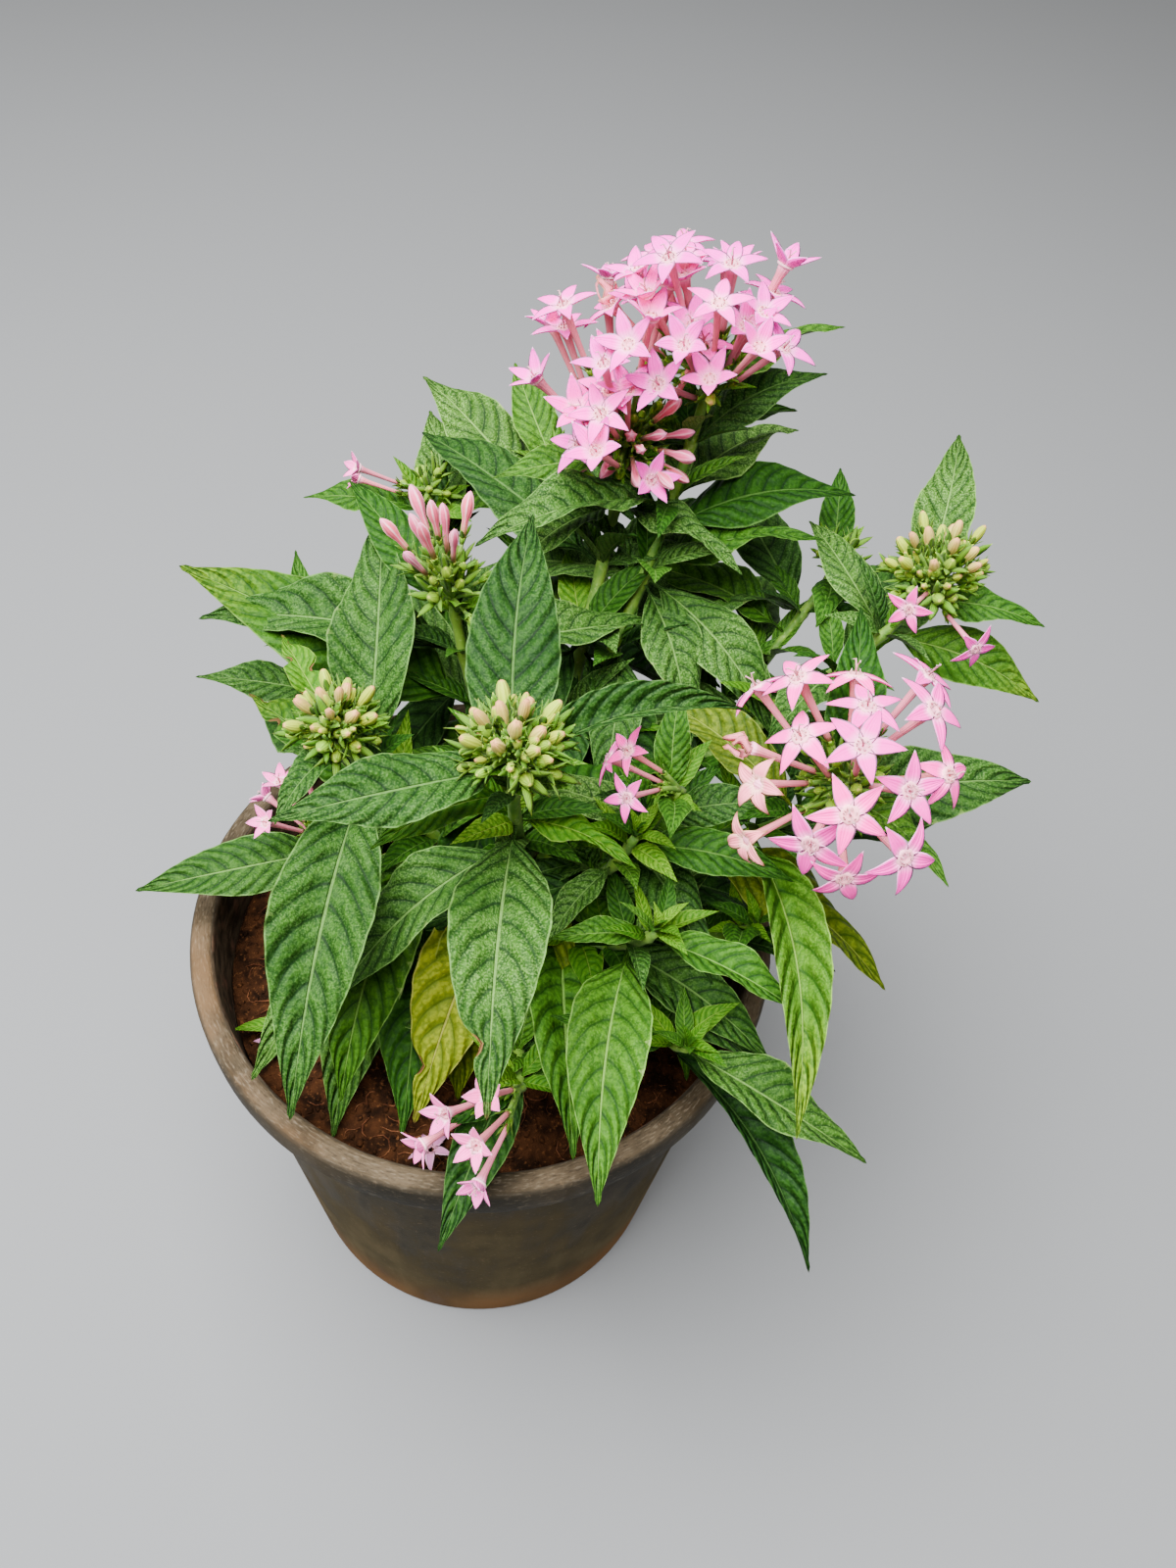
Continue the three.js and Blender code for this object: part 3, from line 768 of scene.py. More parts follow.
plant_tree, given = new_tree("plant_shapes", {
    "Shapes": "Collection", "Finish": "Material", "Under finish": "Material",
    "Roll change": "Float", "Size change": "Float", "Seed": "Int"})
smallest, largest = [calc(plant_tree, way, 1.0, given["Size change"]) for way in ("SUBTRACT", "ADD")]
planted = put_shapes(plant_tree, given, {
    "Points": given["Geometry"],
    "Instance Index": attribute(plant_tree, "shape", "INT"),
    "Rotation": attribute(plant_tree, "turn", "QUATERNION"),
    "Scale": calc(plant_tree, "MULTIPLY", attribute(plant_tree, "size", "FLOAT"),
                  any_between(plant_tree, smallest, largest, given["Seed"]))})
roll_back = calc(plant_tree, "MULTIPLY", given["Roll change"], -1.0)
own_roll = any_between(plant_tree, roll_back, given["Roll change"], given["Seed"])
rolled = node(plant_tree, "GeometryNodeRotateInstances", {
    "Instances": planted, "Rotation": node(plant_tree, "ShaderNodeCombineXYZ", {0: own_roll}).outputs[0]})
both_sides = node(plant_tree, "GeometryNodeSetMaterial", {
    "Geometry": make_real(plant_tree, given, rolled.outputs[0]),
    "Selection": attribute(plant_tree, "under", "BOOLEAN"), "Material": given["Under finish"]})
node(plant_tree, "NodeGroupOutput", {0: both_sides.outputs[0]})
print("tree:", plant_tree.name, "with", len(plant_tree.nodes), "nodes")


# %% Turning a tree's result into a plain piece
def grow_tree(base, tree, values):
    """Runs a tree on an object and keeps its result as the object's own mesh."""
    show(base)
    modifier = base.modifiers.new("grow", "NODES")
    modifier.node_group = tree
    for item in tree.interface.items_tree:
        if item.in_out == "INPUT" and item.name in values:
            modifier[item.identifier] = values[item.name]
    bpy.context.view_layer.update()
    depsgraph = bpy.context.evaluated_depsgraph_get()
    base.data = bpy.data.meshes.new_from_object(base.evaluated_get(depsgraph), preserve_all_data_layers=True,
                                                depsgraph=depsgraph)
    base.modifiers.clear()
    return base


def plant(name, rows, shapes, finish, seed, under_finish=None, roll=0.0, size_change=0.0):
    """Plants shapes on rows of (place in mm, turn, size, shape number, tint)."""
    mesh = bpy.data.meshes.new(name)
    mesh.from_pydata([Vector(row[0]) * MM for row in rows], [], [])
    for key, kind, values in (("turn", "QUATERNION", [x for row in rows for x in row[1]]),
                              ("size", "FLOAT", [row[2] * MM for row in rows]),
                              ("shape", "INT", [row[3] for row in rows]),
                              ("tint", "FLOAT", [row[4] for row in rows])):
        mesh.attributes.new(key, kind, "POINT").data.foreach_set("value", values)
    return grow_tree(new_object(name, mesh), plant_tree, {
        "Shapes": shapes, "Finish": finish, "Under finish": under_finish or finish,
        "Roll change": math.radians(roll), "Size change": size_change, "Seed": seed})


print("ready to plant")

# %% [markdown]
# ## All the leaves
# The large leaves stand where the rule put them in the solids. Each leaf joint of a real pentas also carries
# a small side shoot, and old leaves hang lower down on the boughs, some of them olive or yellow. Those finer
# leaves fill the middle of the plant, and they keep above the soil and inside the reach of the large ones.

# %% Collect the leaves by kind
dice = random.Random(11)
leaf_sets = {kind: [] for kind in leaf_finishes}
small_sets = {"deep": [], "fresh": [], "young": []}
leaf_room = 4
leaf_roll = 10
small_roll = 15
fresh_pair = 3
fresh_share = 0.35


def leaf_turn(turn, rise, roll):
    return (Quaternion((0, 0, 1), math.radians(turn)) @ Quaternion((0, 1, 0), -math.radians(rise))
            @ Quaternion((1, 0, 0), math.radians(roll)))


def add_leaf(kind, root, turn, rise, length, roll=0.0, shape=None, tint=None):
    shape = dice.randrange(whole_shapes) if shape is None else shape
    by_chance = dice.random()
    tint = by_chance if tint is None else tint
    leaf_sets[kind].append((root, leaf_turn(turn, rise, roll), length, shape, tint))


def add_small_leaf(kind, root, turn, rise, length):
    way = leaf_turn(turn, rise, dice.uniform(-small_roll, small_roll))
    small_sets[kind].append((root, way, length, dice.randrange(3), dice.random()))


def has_room(root, turn, rise, length):
    """Whether a leaf stays above the soil and out of the pot's wall."""
    for share in (0.5, 0.8, 1.0):
        point = root + aim(turn, rise) * length * share
        out = math.hypot(point.x, point.y)
        over_wall = rim_radius - lip_width - leaf_room < out < rim_radius + leaf_room
        if point.z < soil_height + leaf_room or (point.z < pot_height + leaf_room and over_wall):
            return False
    return True


def large_kind(row):
    chosen = own_kinds.get((row["shoot"], row["number"]))
    if chosen or row["pair"] == 0:
        return chosen or "fresh"
    return "fresh" if row["pair"] >= fresh_pair and dice.random() < fresh_share else "deep"


# Kinds, forms and rolls that the photographed leaves have of their own, by shoot and number. A few leaves
# also get a fixed tint, 0 the darkest and 1 the lightest.
own_kinds = {("front", 0): "deep", ("front", 1): "deep", ("front", 3): "young", ("front", 5): "young",
             ("front", 8): "yellow", ("left_buds", 0): "young", ("left_buds", 1): "deep",
             ("left_buds", 4): "turning", ("left_buds", 7): "olive", ("low_left", 0): "deep",
             ("low_right", 0): "deep", ("middle", 6): "olive", ("pink_buds", 4): "turning",
             ("rosette", 2): "fresh", ("right", 2): "olive", ("right", 4): "turning", ("right", 6): "olive",
             ("right_buds", 0): "deep", ("right_buds", 3): "turning"}
own_forms = {("front", 0): folded, ("front", 8): nibbled, ("front", 4): nibbled, ("left_buds", 0): ragged,
             ("left_buds", 4): ragged, ("right", 4): folded, ("low_right", 2): folded}
own_rolls = {("right", 3): 26, ("right_buds", 3): 26, ("pink_buds", 2): -20, ("pink_buds", 4): -16,
             ("low_left", 0): -14, ("right_buds", 1): 20}
fixed_tints = {("low_right", 2): 0.0, ("back_middle", 2): 1.0, ("back_middle", 0): 1.0, ("back_left", 2): 0.9}
for row in leaf_rows:
    place = (row["shoot"], row["number"])
    add_leaf(large_kind(row), row["root"], row["turn"], row["rise"], row["length"],
             dice.uniform(-leaf_roll, leaf_roll) + own_rolls.get(place, 0), own_forms.get(place),
             fixed_tints.get(place))
print(sum(map(len, leaf_sets.values())), "leaves of the solids")

# %% Old leaves, crowns and side sprouts
# Old leaves are (shoot, drop, turn, rise, length, kind).
old_leaves = [("left_buds", 60, 250, -30, 90, "fresh"), ("low_left", 36, 255, -15, 92, "deep"),
              ("front", 80, 250, -50, 88, "olive"), ("low_left", 36, 270, -10, 90, "fresh"),
              ("rosette", 76, 270, 10, 90, "fresh"), ("low_front", 48, 300, 5, 50, "deep"),
              ("tall", 68, 300, -25, 64, "deep"), ("tall", 84, 262, -5, 52, "deep"),
              ("tall_back", 66, 285, -30, 62, "deep"), ("tall_back", 50, 16, 2, 72, "fresh"),
              ("tall_back", 64, 2, 14, 60, "fresh"), ("tall_back", 88, 262, -20, 58, "deep"),
              ("back_right", 30, 165, 15, 66, "fresh"), ("rosette", 64, 275, -22, 56, "olive"),
              ("left_buds", 93, 218, 4, 52, "olive")]
seedling = (Vector((-62, -31, soil_height + 1)), 186, 0, 24)
crown_reach = 10
crown_leaves = 7
sprout_rise = 38
sprout_spread = 34
sprout_foot = 14
yellow_share = 0.08
olive_share = 0.25

for name, drop, turn, rise, length, kind in old_leaves:
    add_leaf(kind, curves[name].at(drop), turn, rise, length)
add_small_leaf("young", *seedling)
for name, shoot in shoots.items():
    if shoot["sprays"][0][2] < crown_reach:
        for k in range(crown_leaves):
            turn, rise, length = shoot["turn"] + golden_angle * k, 72 - 8 * k, 9 + 1.6 * k
            add_small_leaf("young" if k % 2 else "fresh", Vector(shoot["tip"]), turn, rise, length)

for name, shoot in shoots.items():
    curve = curves[name]
    pair = 0
    while drop_of(pair) < curve.length - sprout_foot:
        root = curve.at(drop_of(pair))
        own = shoot["turn"] + 90 * pair
        if pair >= shoot["pairs"]:
            for side in (0, 180):
                turn = own + side + dice.uniform(-20, 20)
                rise = dice.uniform(-30, 5)
                length = shoot["leaf"] * dice.uniform(0.6, 0.9)
                if has_room(root, turn, rise, length):
                    age = dice.random()
                    kind = "yellow" if age < yellow_share else "olive" if age < olive_share else "deep"
                    add_leaf(kind, root, turn, rise, length)
        for side in (0, 180):
            for part in (-1, 1):
                turn = own + side + part * sprout_spread + dice.uniform(-12, 12)
                rise = sprout_rise + dice.uniform(-22, 18)
                length = dice.uniform(15, 24) + 5 * min(pair, 3)
                if has_room(root, turn, rise, length):
                    young = pair < 1 or dice.random() < 0.15
                    kind = "young" if young else "fresh" if dice.random() < 0.6 else "deep"
                    add_small_leaf(kind, root, turn, rise, length)
        pair += 1
for sets in (leaf_sets, small_sets):
    print({kind: len(rows) for kind, rows in sets.items()})

# %% Plant the leaves
roll_change = 3
leaf_pieces = [plant(label + kind, rows, shapes, leaf_finishes[kind], number, leaf_under, roll=roll_change)
               for label, shapes, sets in (("leaves_", leaf_kinds, leaf_sets),
                                           ("sprouts_", small_kinds, small_sets))
               for number, (kind, rows) in enumerate(sets.items())]
for piece in leaf_pieces:
    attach(piece, "root")
    print(piece.name, len(piece.data.polygons), "faces")
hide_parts(*[name for name in nodes if name.startswith("foliage_")])

# %% [markdown]
# ## Star flowers
# A pentas flower is a narrow hairy tube, about 22 mm long, that opens into five pointed petals 22 mm across.
# A pale ring of hairs closes the throat, and in many a white forked style stands out of it. The pink is
# strongest along the middle of a petal, and its margin, its point and its root are nearly white. Petals,
# tubes and throats are planted on the same points, each kind as a piece of its own. Upright young stars are
# cupped, and open ones lie flat or bend back. Buds are ribbed, and their ridges are paler than the rest.

# %% Finishes of flowers and buds
petal_roughness = 0.5
petal_sheen = 0.06
petal_gloss = 0.12
petal_relief = 0.2
petal_lines = 3.0
bud_ridge = 0.2
ridge_width = 0.11
root_start = 0.04


def bloom_finish(name, middle, edge, tip, root, edge_start=0.78, tip_start=0.88, root_end=0.26, ridged=0.0):
    """A finish with its own colour at margin, tip, root and ridges, from the piece's UV map."""
    finish = Finish(name, petal_roughness, petal_sheen, petal_gloss)
    along, across, side = finish.blade_place()
    fine, tint = finish.noise(800, 2), finish.attribute("tint")
    finish.start(side.ramp(edge_start, 1.0), middle, edge)
    if ridged:
        finish.coat(across.calc("PINGPONG", bud_ridge).ramp(ridge_width, 0.0) * ridged, edge)
    finish.coat(along.ramp(tip_start, 1.0), tip)
    if root:
        finish.coat(along.ramp(root_end, root_start), root)
    finish.shade(tint * 0.02 + 0.49, tint * 0.2 + (fine * 0.16 + 0.86))
    lines = (side * petal_lines).calc("PINGPONG", 0.5)
    return finish.done(fine * 0.4 + lines, petal_relief)


# Colours of the middle, the margin, the tip and the root, and where these start.
bloom_paints = {
    "petal_pink": ((0.97, 0.025, 0.43), (0.98, 0.42, 0.82), (0.99, 0.66, 0.92), (0.97, 0.34, 0.62),
                   dict(root_end=0.36, edge_start=0.76)),
    "petal_lilac": ((0.98, 0.03, 0.55), (0.98, 0.44, 0.88), (0.99, 0.7, 0.95), (0.97, 0.34, 0.66),
                    dict(root_end=0.36, edge_start=0.76)),
    "petal_pale": ((0.95, 0.13, 0.48), (0.97, 0.52, 0.78), (0.98, 0.76, 0.88), (0.95, 0.7, 0.76), {}),
    "petal_faded": ((0.84, 0.2, 0.28), (0.78, 0.38, 0.24), (0.34, 0.14, 0.05), (0.8, 0.42, 0.36),
                    dict(edge_start=0.55, tip_start=0.72)),
    "petal_fallen": ((0.36, 0.12, 0.24), (0.5, 0.3, 0.36), (0.4, 0.24, 0.24), (0.3, 0.12, 0.16),
                     dict(edge_start=0.5)),
    "tube_salmon": ((0.66, 0.17, 0.23), (0.66, 0.17, 0.23), (0.9, 0.34, 0.5), (0.4, 0.15, 0.08),
                    dict(tip_start=0.7)),
    "throat_pale": ((0.86, 0.36, 0.44), (0.93, 0.58, 0.64), (0.95, 0.7, 0.72), (0.55, 0.16, 0.2),
                    dict(tip_start=0.5)),
    "bud_pink": ((0.74, 0.1, 0.2), (0.92, 0.46, 0.52), (0.9, 0.28, 0.5), (0.45, 0.2, 0.1),
                 dict(tip_start=0.6, ridged=0.75)),
    "bud_cream": ((0.3, 0.38, 0.018), (0.38, 0.46, 0.035), (0.66, 0.33, 0.12), (0.12, 0.26, 0.01),
                  dict(tip_start=0.75, ridged=0.4)),
    "bud_salmon": ((0.44, 0.33, 0.065), (0.48, 0.41, 0.09), (0.68, 0.3, 0.13), (0.22, 0.32, 0.025),
                   dict(tip_start=0.55, ridged=0.5)),
    "bud_green": ((0.15, 0.27, 0.011), (0.26, 0.37, 0.027), (0.5, 0.52, 0.08), (0.07, 0.18, 0.01), {}),
    "sepal_green": ((0.08, 0.195, 0.0045), (0.165, 0.31, 0.014), (0.34, 0.48, 0.04), None, {}),
}
bloom_finishes = {name: bloom_finish(name, *paints, **limits)
                  for name, (*paints, limits) in bloom_paints.items()}
print("flower and bud finishes:", len(bloom_finishes))


# %% A store for skins
class Skin:
    """Collects closed skins in millimetres, with a place along and across each, for one mesh."""

    def __init__(self):
        self.points, self.faces, self.flat = [], [], []

    def close(self, rings, shares, across=None):
        """A closed skin over rings of points; the first and the last ring are single points."""
        starts = []
        for ring, share in zip(rings, shares):
            starts.append(len(self.points))
            self.points += ring
            count = len(ring)
            own = [0.5] if count == 1 else across or [1 - abs(2 * (k / count) - 1) for k in range(count)]
            self.flat += [(share, place) for place in own]
        for here, start in enumerate(starts[:-1]):
            after, count, following = starts[here + 1], len(rings[here]), len(rings[here + 1])
            for k in range(max(count, following)):
                a, b = start + k % count, start + (k + 1) % count
                c, d = after + (k + 1) % following, after + k % following
                self.faces.append(list(dict.fromkeys((a, b, c, d))))

    def tube(self, path, radii, sides, ribs=0.0, swell=None, lobes=5):
        """A round limb along a path, with its ribs and swellings."""
        sideways = Vector((1, 0, 0))
        rings = [[path[0]]]
        travel = 0.0
        for i, (point, radius) in enumerate(zip(path, radii)):
            along = (path[min(i + 1, len(path) - 1)] - path[max(i - 1, 0)]).normalized()
            sideways = (sideways - along * sideways.dot(along)).normalized()
            upright = along.cross(sideways)
            travel += (point - path[max(i - 1, 0)]).length
            ring = []
            for k in range(sides):
                angle = math.tau * k / sides
                own = radius * (1 + ribs * math.cos(lobes * angle)) + (swell(angle, travel) if swell else 0)
                ring.append(point + sideways * (own * math.cos(angle)) + upright * (own * math.sin(angle)))
            rings.append(ring)
        self.close(rings + [[path[-1]]], [0] + [i / (len(path) - 1) for i in range(len(path))] + [1])

    def object(self, name, scale=1.0):
        mesh = bpy.data.meshes.new(name)
        mesh.from_pydata([point * scale for point in self.points], [], self.faces)
        uv = mesh.uv_layers.new(name="leaf")
        for loop in mesh.loops:
            uv.data[loop.index].uv = self.flat[loop.vertex_index]
        mesh.shade_smooth()
        return new_object(name, mesh)


def skin_set(name, *skins):
    return shape_set(name, [skin.object(f"{name}_{number}") for number, skin in enumerate(skins)])


print("store ready")

# %% Petals, tubes and throats
flower_radius = 11
tube_length = 22
petal_stations = (0.0, 0.12, 0.26, 0.42, 0.58, 0.74, 0.89)
petal_halves = (1.7, 2.15, 2.35, 2.2, 1.75, 1.15, 0.5)
petal_across = (0, 0.3, 0.7, 1, 0.75, 0.5, 0.25)
petal_thickness = 0.28
petal_hollow = 0.3
throat_reach = 1.2
throat_hairs = 13
upward = Vector((0, 0, 1))


def star(cup, curl, closing=0.0, turn_out=0.0):
    """Five petals. Cup leans them forward, curl bends their tips back, and closing narrows the star."""
    skin = Skin()
    for k in range(5):
        out, side = level(72 * k), level(72 * k + 90)
        own_curl = curl * (1 + 0.3 * math.sin(2.3 * k + cup))
        own_turn = turn_out * math.sin(1.7 * k + curl)
        reach = math.sqrt((flower_radius - throat_reach) ** 2 - cup ** 2) * (1 - closing)

        def middle(share):
            forward = cup * share - own_curl * share ** 2.5 + closing * 9 * share
            return out * (throat_reach + reach * share) + upward * forward + side * (own_turn * share ** 2)

        rings = [[middle(0)]]
        for share, half in zip(petal_stations, petal_halves):
            centre, wing = middle(share), side * half
            lift, sunk = upward * (petal_hollow * half), upward * petal_thickness
            rings.append([centre - wing + lift, centre - wing * 0.5 - sunk, centre + wing * 0.5 - sunk,
                          centre + wing + lift, centre + wing * 0.5 + lift * 0.6, centre,
                          centre - wing * 0.5 + lift * 0.6])
        skin.close(rings + [[middle(1)]], (0, *petal_stations, 1), petal_across)
    return skin


def straight(heights, radii, sides, ribs=0.0):
    """A limb that stands straight up."""
    skin = Skin()
    skin.tube([upward * high for high in heights], radii, sides, ribs=ribs)
    return skin


def throat_shape(style):
    """A pale ring of hairs round a darker pit, with or without the forked style."""
    skin = Skin()
    rings = [[level(36 * k) * out + upward * high for k in range(10)]
             for out, high in ((0.5, -0.1), (1.2, 0.5), (2.0, 0.75), (2.6, 0.35), (2.4, -0.2))]
    skin.close([[upward * -0.5]] + rings + [[upward * -0.6]], (0, 0.1, 0.3, 0.5, 0.7, 0.9, 1), [0.5] * 10)
    for k in range(throat_hairs):
        out = level(360 * k / throat_hairs + 11 * math.sin(3 * k))
        root = out * 1.7 + upward * 0.5
        skin.tube([root, root - out * 0.5 + upward * (1.1 + 0.4 * math.sin(5 * k))], (0.3, 0.06), 3)
    for side in (-1, 1) if style else ():
        path = [Vector(point) for point in ((0, 0, 0), (0.2 * side, 0, 2.8), (1.1 * side, 0.3, 4.4),
                                            (1.9 * side, -0.2, 4.1))]
        skin.tube(path, (0.28, 0.26, 0.24, 0.14), 4)
    return skin


def wilted():
    """A star that has closed and shrivelled to a crumpled tuft."""
    skin = Skin()
    for k in range(5):
        out, side = level(72 * k + 9 * math.sin(3 * k)), level(72 * k + 90)
        rings = [[out * 1.2]]
        for share, half in ((0.2, 1.5), (0.45, 1.7), (0.7, 1.2), (0.88, 0.7)):
            bend = 1.4 * math.sin(7 * share + 2 * k)
            centre = out * (1.3 + 2.2 * share + 0.8 * math.sin(4 * share + k)) + side * bend
            centre += upward * (7.5 * share - 3.0 * share * (k % 2))
            rings.append([centre - side * half, centre - out * 0.3, centre + side * half, centre + out * 0.3])
        skin.close(rings + [[rings[-1][1] + upward * 0.8]], (0, 0.2, 0.45, 0.7, 0.88, 1))
    return skin


star_shapes = skin_set(
    "stars",
    star(0.4, 1.4), star(1.6, 3.0, turn_out=1.2), star(-1.4, 1.6, turn_out=-0.8), star(2.8, 2.0),
    star(5.0, 1.4, turn_out=0.8), star(6.4, 0.6), star(7.2, 1.8, turn_out=-1.0),
    star(2.2, 0.8, closing=0.34, turn_out=0.8), star(1.2, 0.4, closing=0.46))
star_choice = {"petals": (0, 1, 2, 3), "petals_lilac": (3, 4, 5, 6), "petals_pale": (7, 8)}
wilted_shapes = skin_set("wilted", wilted(), star(1.0, 4.2, closing=0.24, turn_out=2.2))
tube_shapes = skin_set("tubes", straight((-tube_length, -20, -12, -6, -3, -1.2, 0.1),
                                         (0.95, 0.85, 0.95, 1.15, 1.35, 1.75, 2.0), 9, ribs=0.05))
throat_shapes = skin_set("throats", throat_shape(False), throat_shape(True))

# %% Buds and sepals
bud_sides = 10


def sepal_shape(length, lean, half):
    """Five narrow leafy sepals round the foot of a flower or bud."""
    skin = straight((-2.6, -1.2, 0.4), (0.7, 1.15, 1.35), 6)
    for k in range(5):
        out, side = level(72 * k + 8 * math.sin(4 * k)), level(72 * k + 90)
        long = length * (1 + 0.25 * math.sin(2.1 * k + lean))
        rings = [[out + upward * -0.4]]
        for share, width in ((0.15, 0.75), (0.45, 1.0), (0.75, 0.7)):
            centre = out * (1.1 + lean * share ** 1.5) + upward * (long * share)
            wing = side * half * width
            rings.append([centre - wing, centre + out * 0.2, centre + wing, centre - out * 0.2])
        skin.close(rings + [[out * (1.1 + lean) + upward * long]], (0, 0.15, 0.45, 0.75, 1))
    return skin


def bud_set(name, ribs, *profiles):
    return skin_set(name, *[straight(heights, radii, bud_sides, ribs) for heights, radii in profiles])


club_shapes = bud_set(
    "clubs", 0.17,
    ((-20, -14, -10.5, -8.5, -6, -3.8, -1.9, -0.7, 0), (0.9, 1.0, 1.1, 1.6, 2.05, 1.9, 1.35, 0.7, 0.12)),
    ((-18, -13, -9.5, -7.5, -5, -3, -1.4, -0.5, 0), (0.85, 0.95, 1.05, 1.4, 1.75, 1.6, 1.1, 0.55, 0.1)))
bud_shapes = bud_set(
    "buds", 0.14,
    ((-9, -7.4, -5.8, -4.2, -2.4, -1.0, -0.3, 0), (0.75, 1.0, 1.35, 1.62, 1.55, 1.15, 0.75, 0.2)),
    ((-8, -6.4, -5, -3.4, -1.8, -0.6, 0), (0.7, 0.95, 1.25, 1.42, 1.25, 0.8, 0.2)))
speck_shapes = bud_set("specks", 0.08, ((-5, -3.6, -2.2, -1, -0.3, 0), (0.7, 1.2, 1.45, 1.2, 0.7, 0.2)))
sepal_shapes = skin_set("sepals", sepal_shape(3.6, 1.8, 0.75), sepal_shape(4.4, 2.6, 0.95),
                        sepal_shape(5.6, 4.0, 1.15))

# %% [markdown]
# ## Heads of flowers and buds
# In the solids each flower is one narrow cone from the knot. Here a green stalk leaves the knot, bends
# outward and carries sepals, the tube and the star. Stars high on the plant turn their faces up. Bud heads
# are close and spiky: small green buds and leafy sepals fill the dome between and below the large buds.

# %% Where the heads differ from the rule
# Shapes, finish, seed and change of size of every piece.
bloom_table = {
    "petals": (star_shapes, "petal_pink", 21, 0.05),
    "petals_lilac": (star_shapes, "petal_lilac", 32, 0.05),
    "petals_pale": (star_shapes, "petal_pale", 22, 0.05),
    "petals_faded": (wilted_shapes, "petal_faded", 23, 0.0),
    "petals_fallen": (star_shapes, "petal_fallen", 30, 0.0),
    "flower_tubes": (tube_shapes, "tube_salmon", 24, 0.0),
    "throats": (throat_shapes, "throat_pale", 25, 0.0),
    "buds_pink": (club_shapes, "bud_pink", 26, 0.0),
    "buds_salmon": (bud_shapes, "bud_salmon", 31, 0.0),
    "buds_cream": (bud_shapes, "bud_cream", 27, 0.0),
    "buds_green": (speck_shapes, "bud_green", 28, 0.0),
    "sepals": (sepal_shapes, "sepal_green", 29, 0.0),
}
bloom_rows = {name: [] for name in bloom_table}
stalks = []
pale_shoots = ("low_front", "back_left", "low_left")
flower_sizes = {"right_buds": 0.74, "small": 0.74, "low_left": 0.82, "back_left": 0.7, "low_front": 0.92}
faded_flowers = {"tall": {1: 0}, "right": {9: 0, 4: 1, 12: 1}}
# Flowers and buds that the solids leave out are (turn, lean, reach).
more_flowers = {
    "tall": ((160, 35, 40), (180, 55, 36), (285, 88, 21), (230, 45, 28), (255, 28, 30), (190, 15, 30),
             (225, 68, 25)),
    "tall_back": ((150, 22, 36), (175, 40, 40), (135, 42, 38), (200, 26, 44), (165, 62, 36), (258, 60, 24),
                  (220, 30, 24), (290, 30, 28), (310, 48, 32), (10, 30, 30), (225, 72, 27)),
}
more_clubs = {"tall": ((195, 97, 25), (214, 101, 27), (240, 96, 19), (265, 50, 22))}
# Fallen flowers are (x, y, spin).
fallen_flowers = ((-70, -40, 30), (-17, -77, 200))
fallen_lift = 2.4
fallen_size = 0.74
up_pull = 0.75
club_size = 0.86
full_bud_head = 10
full_flower_head = 8
salmon_rise = 0.8
salmon_size = 0.86
print("own flowers:", sum(map(len, more_flowers.values())), "and fallen", len(fallen_flowers))


# %% Collect the points of every head
def facing(way, spin):
    sideways = Vector((-way.y, way.x, 0)).normalized()
    turn = Matrix((sideways, way.cross(sideways), way)).transposed().to_quaternion()
    return turn @ Quaternion((0, 0, 1), math.radians(spin))


def nod(way, amount):
    """A way that is bent a little from the straight one."""
    bend = Vector([dice.uniform(-1, 1) for _ in range(3)]) * math.tan(math.radians(amount))
    return (way + bend).normalized()


def add_flower(shoot, hub, way, reach, spin, faded=None):
    size = flower_sizes.get(shoot, 1.0) * dice.uniform(0.95, 1.04)
    place = hub + way * reach
    upright = shoot in full_heads
    own = nod((way + upward * up_pull).normalized() if upright else way, 9)
    tint = dice.random()
    foot = place - (own * 0.5 + way * 0.5).normalized() * (tube_length * size)
    turn, tube_turn = facing(own, spin), facing((place - foot).normalized(), spin)
    piece = "petals_pale" if shoot in pale_shoots else "petals_lilac" if upright else "petals"
    if faded is None:
        bloom_rows[piece].append((place, turn, size, dice.choice(star_choice[piece]), tint))
        bloom_rows["throats"].append((place, turn, size, dice.choice((0, 1, 1)), tint))
    else:
        bloom_rows["petals_faded"].append((place, turn, size, faded, tint))
    bloom_rows["flower_tubes"].append((place, tube_turn, size, 0, tint))
    bloom_rows["sepals"].append((foot, tube_turn, size, 0, tint))
    stalks.append((hub, foot - hub, 1.0))


def add_bud(hub, way, reach, kind, size=1.0):
    place = hub + way * reach
    tint = dice.random()
    foot = place - way * (bud_lengths[kind] * size)
    turn = facing(way, dice.uniform(0, 360))
    piece = {"clubs": "buds_pink", "buds": "buds_cream", "specks": "buds_green"}[kind]
    if kind == "buds" and way.z > salmon_rise and size > salmon_size:
        piece = "buds_salmon"
    bloom_rows[piece].append((place, turn, size, 0 if kind == "specks" else dice.randrange(2), tint))
    spiky = dice.choice((0, 1, 2)) if kind == "specks" else dice.randrange(2)
    bloom_rows["sepals"].append((foot + way * 1.5, turn, max(0.6, size), spiky, tint))
    stalks.append((hub, foot - hub, 0.8))


def fillers(kind, count):
    """More buds of a head: their count, spread, shift, nod, share of the reach, kind and size."""
    if kind == "buds" and count > full_bud_head:
        return [(count + 8, 16, 0.9, 8, (0.68, 0.92), "buds", (0.6, 0.85)),
                (count * 2, 34, 0.3, 10, (0.55, 0.85), "specks", (0.9, 1.3))]
    if kind == "clubs":
        return [(count, 25, 0.4, 10, (0.35, 0.55), "specks", (0.9, 1.3))]
    if kind == "flowers" and count > full_flower_head:
        return [(count, 10, 0.4, 10, (0.3, 0.5), "specks", (0.8, 1.2))]
    return []


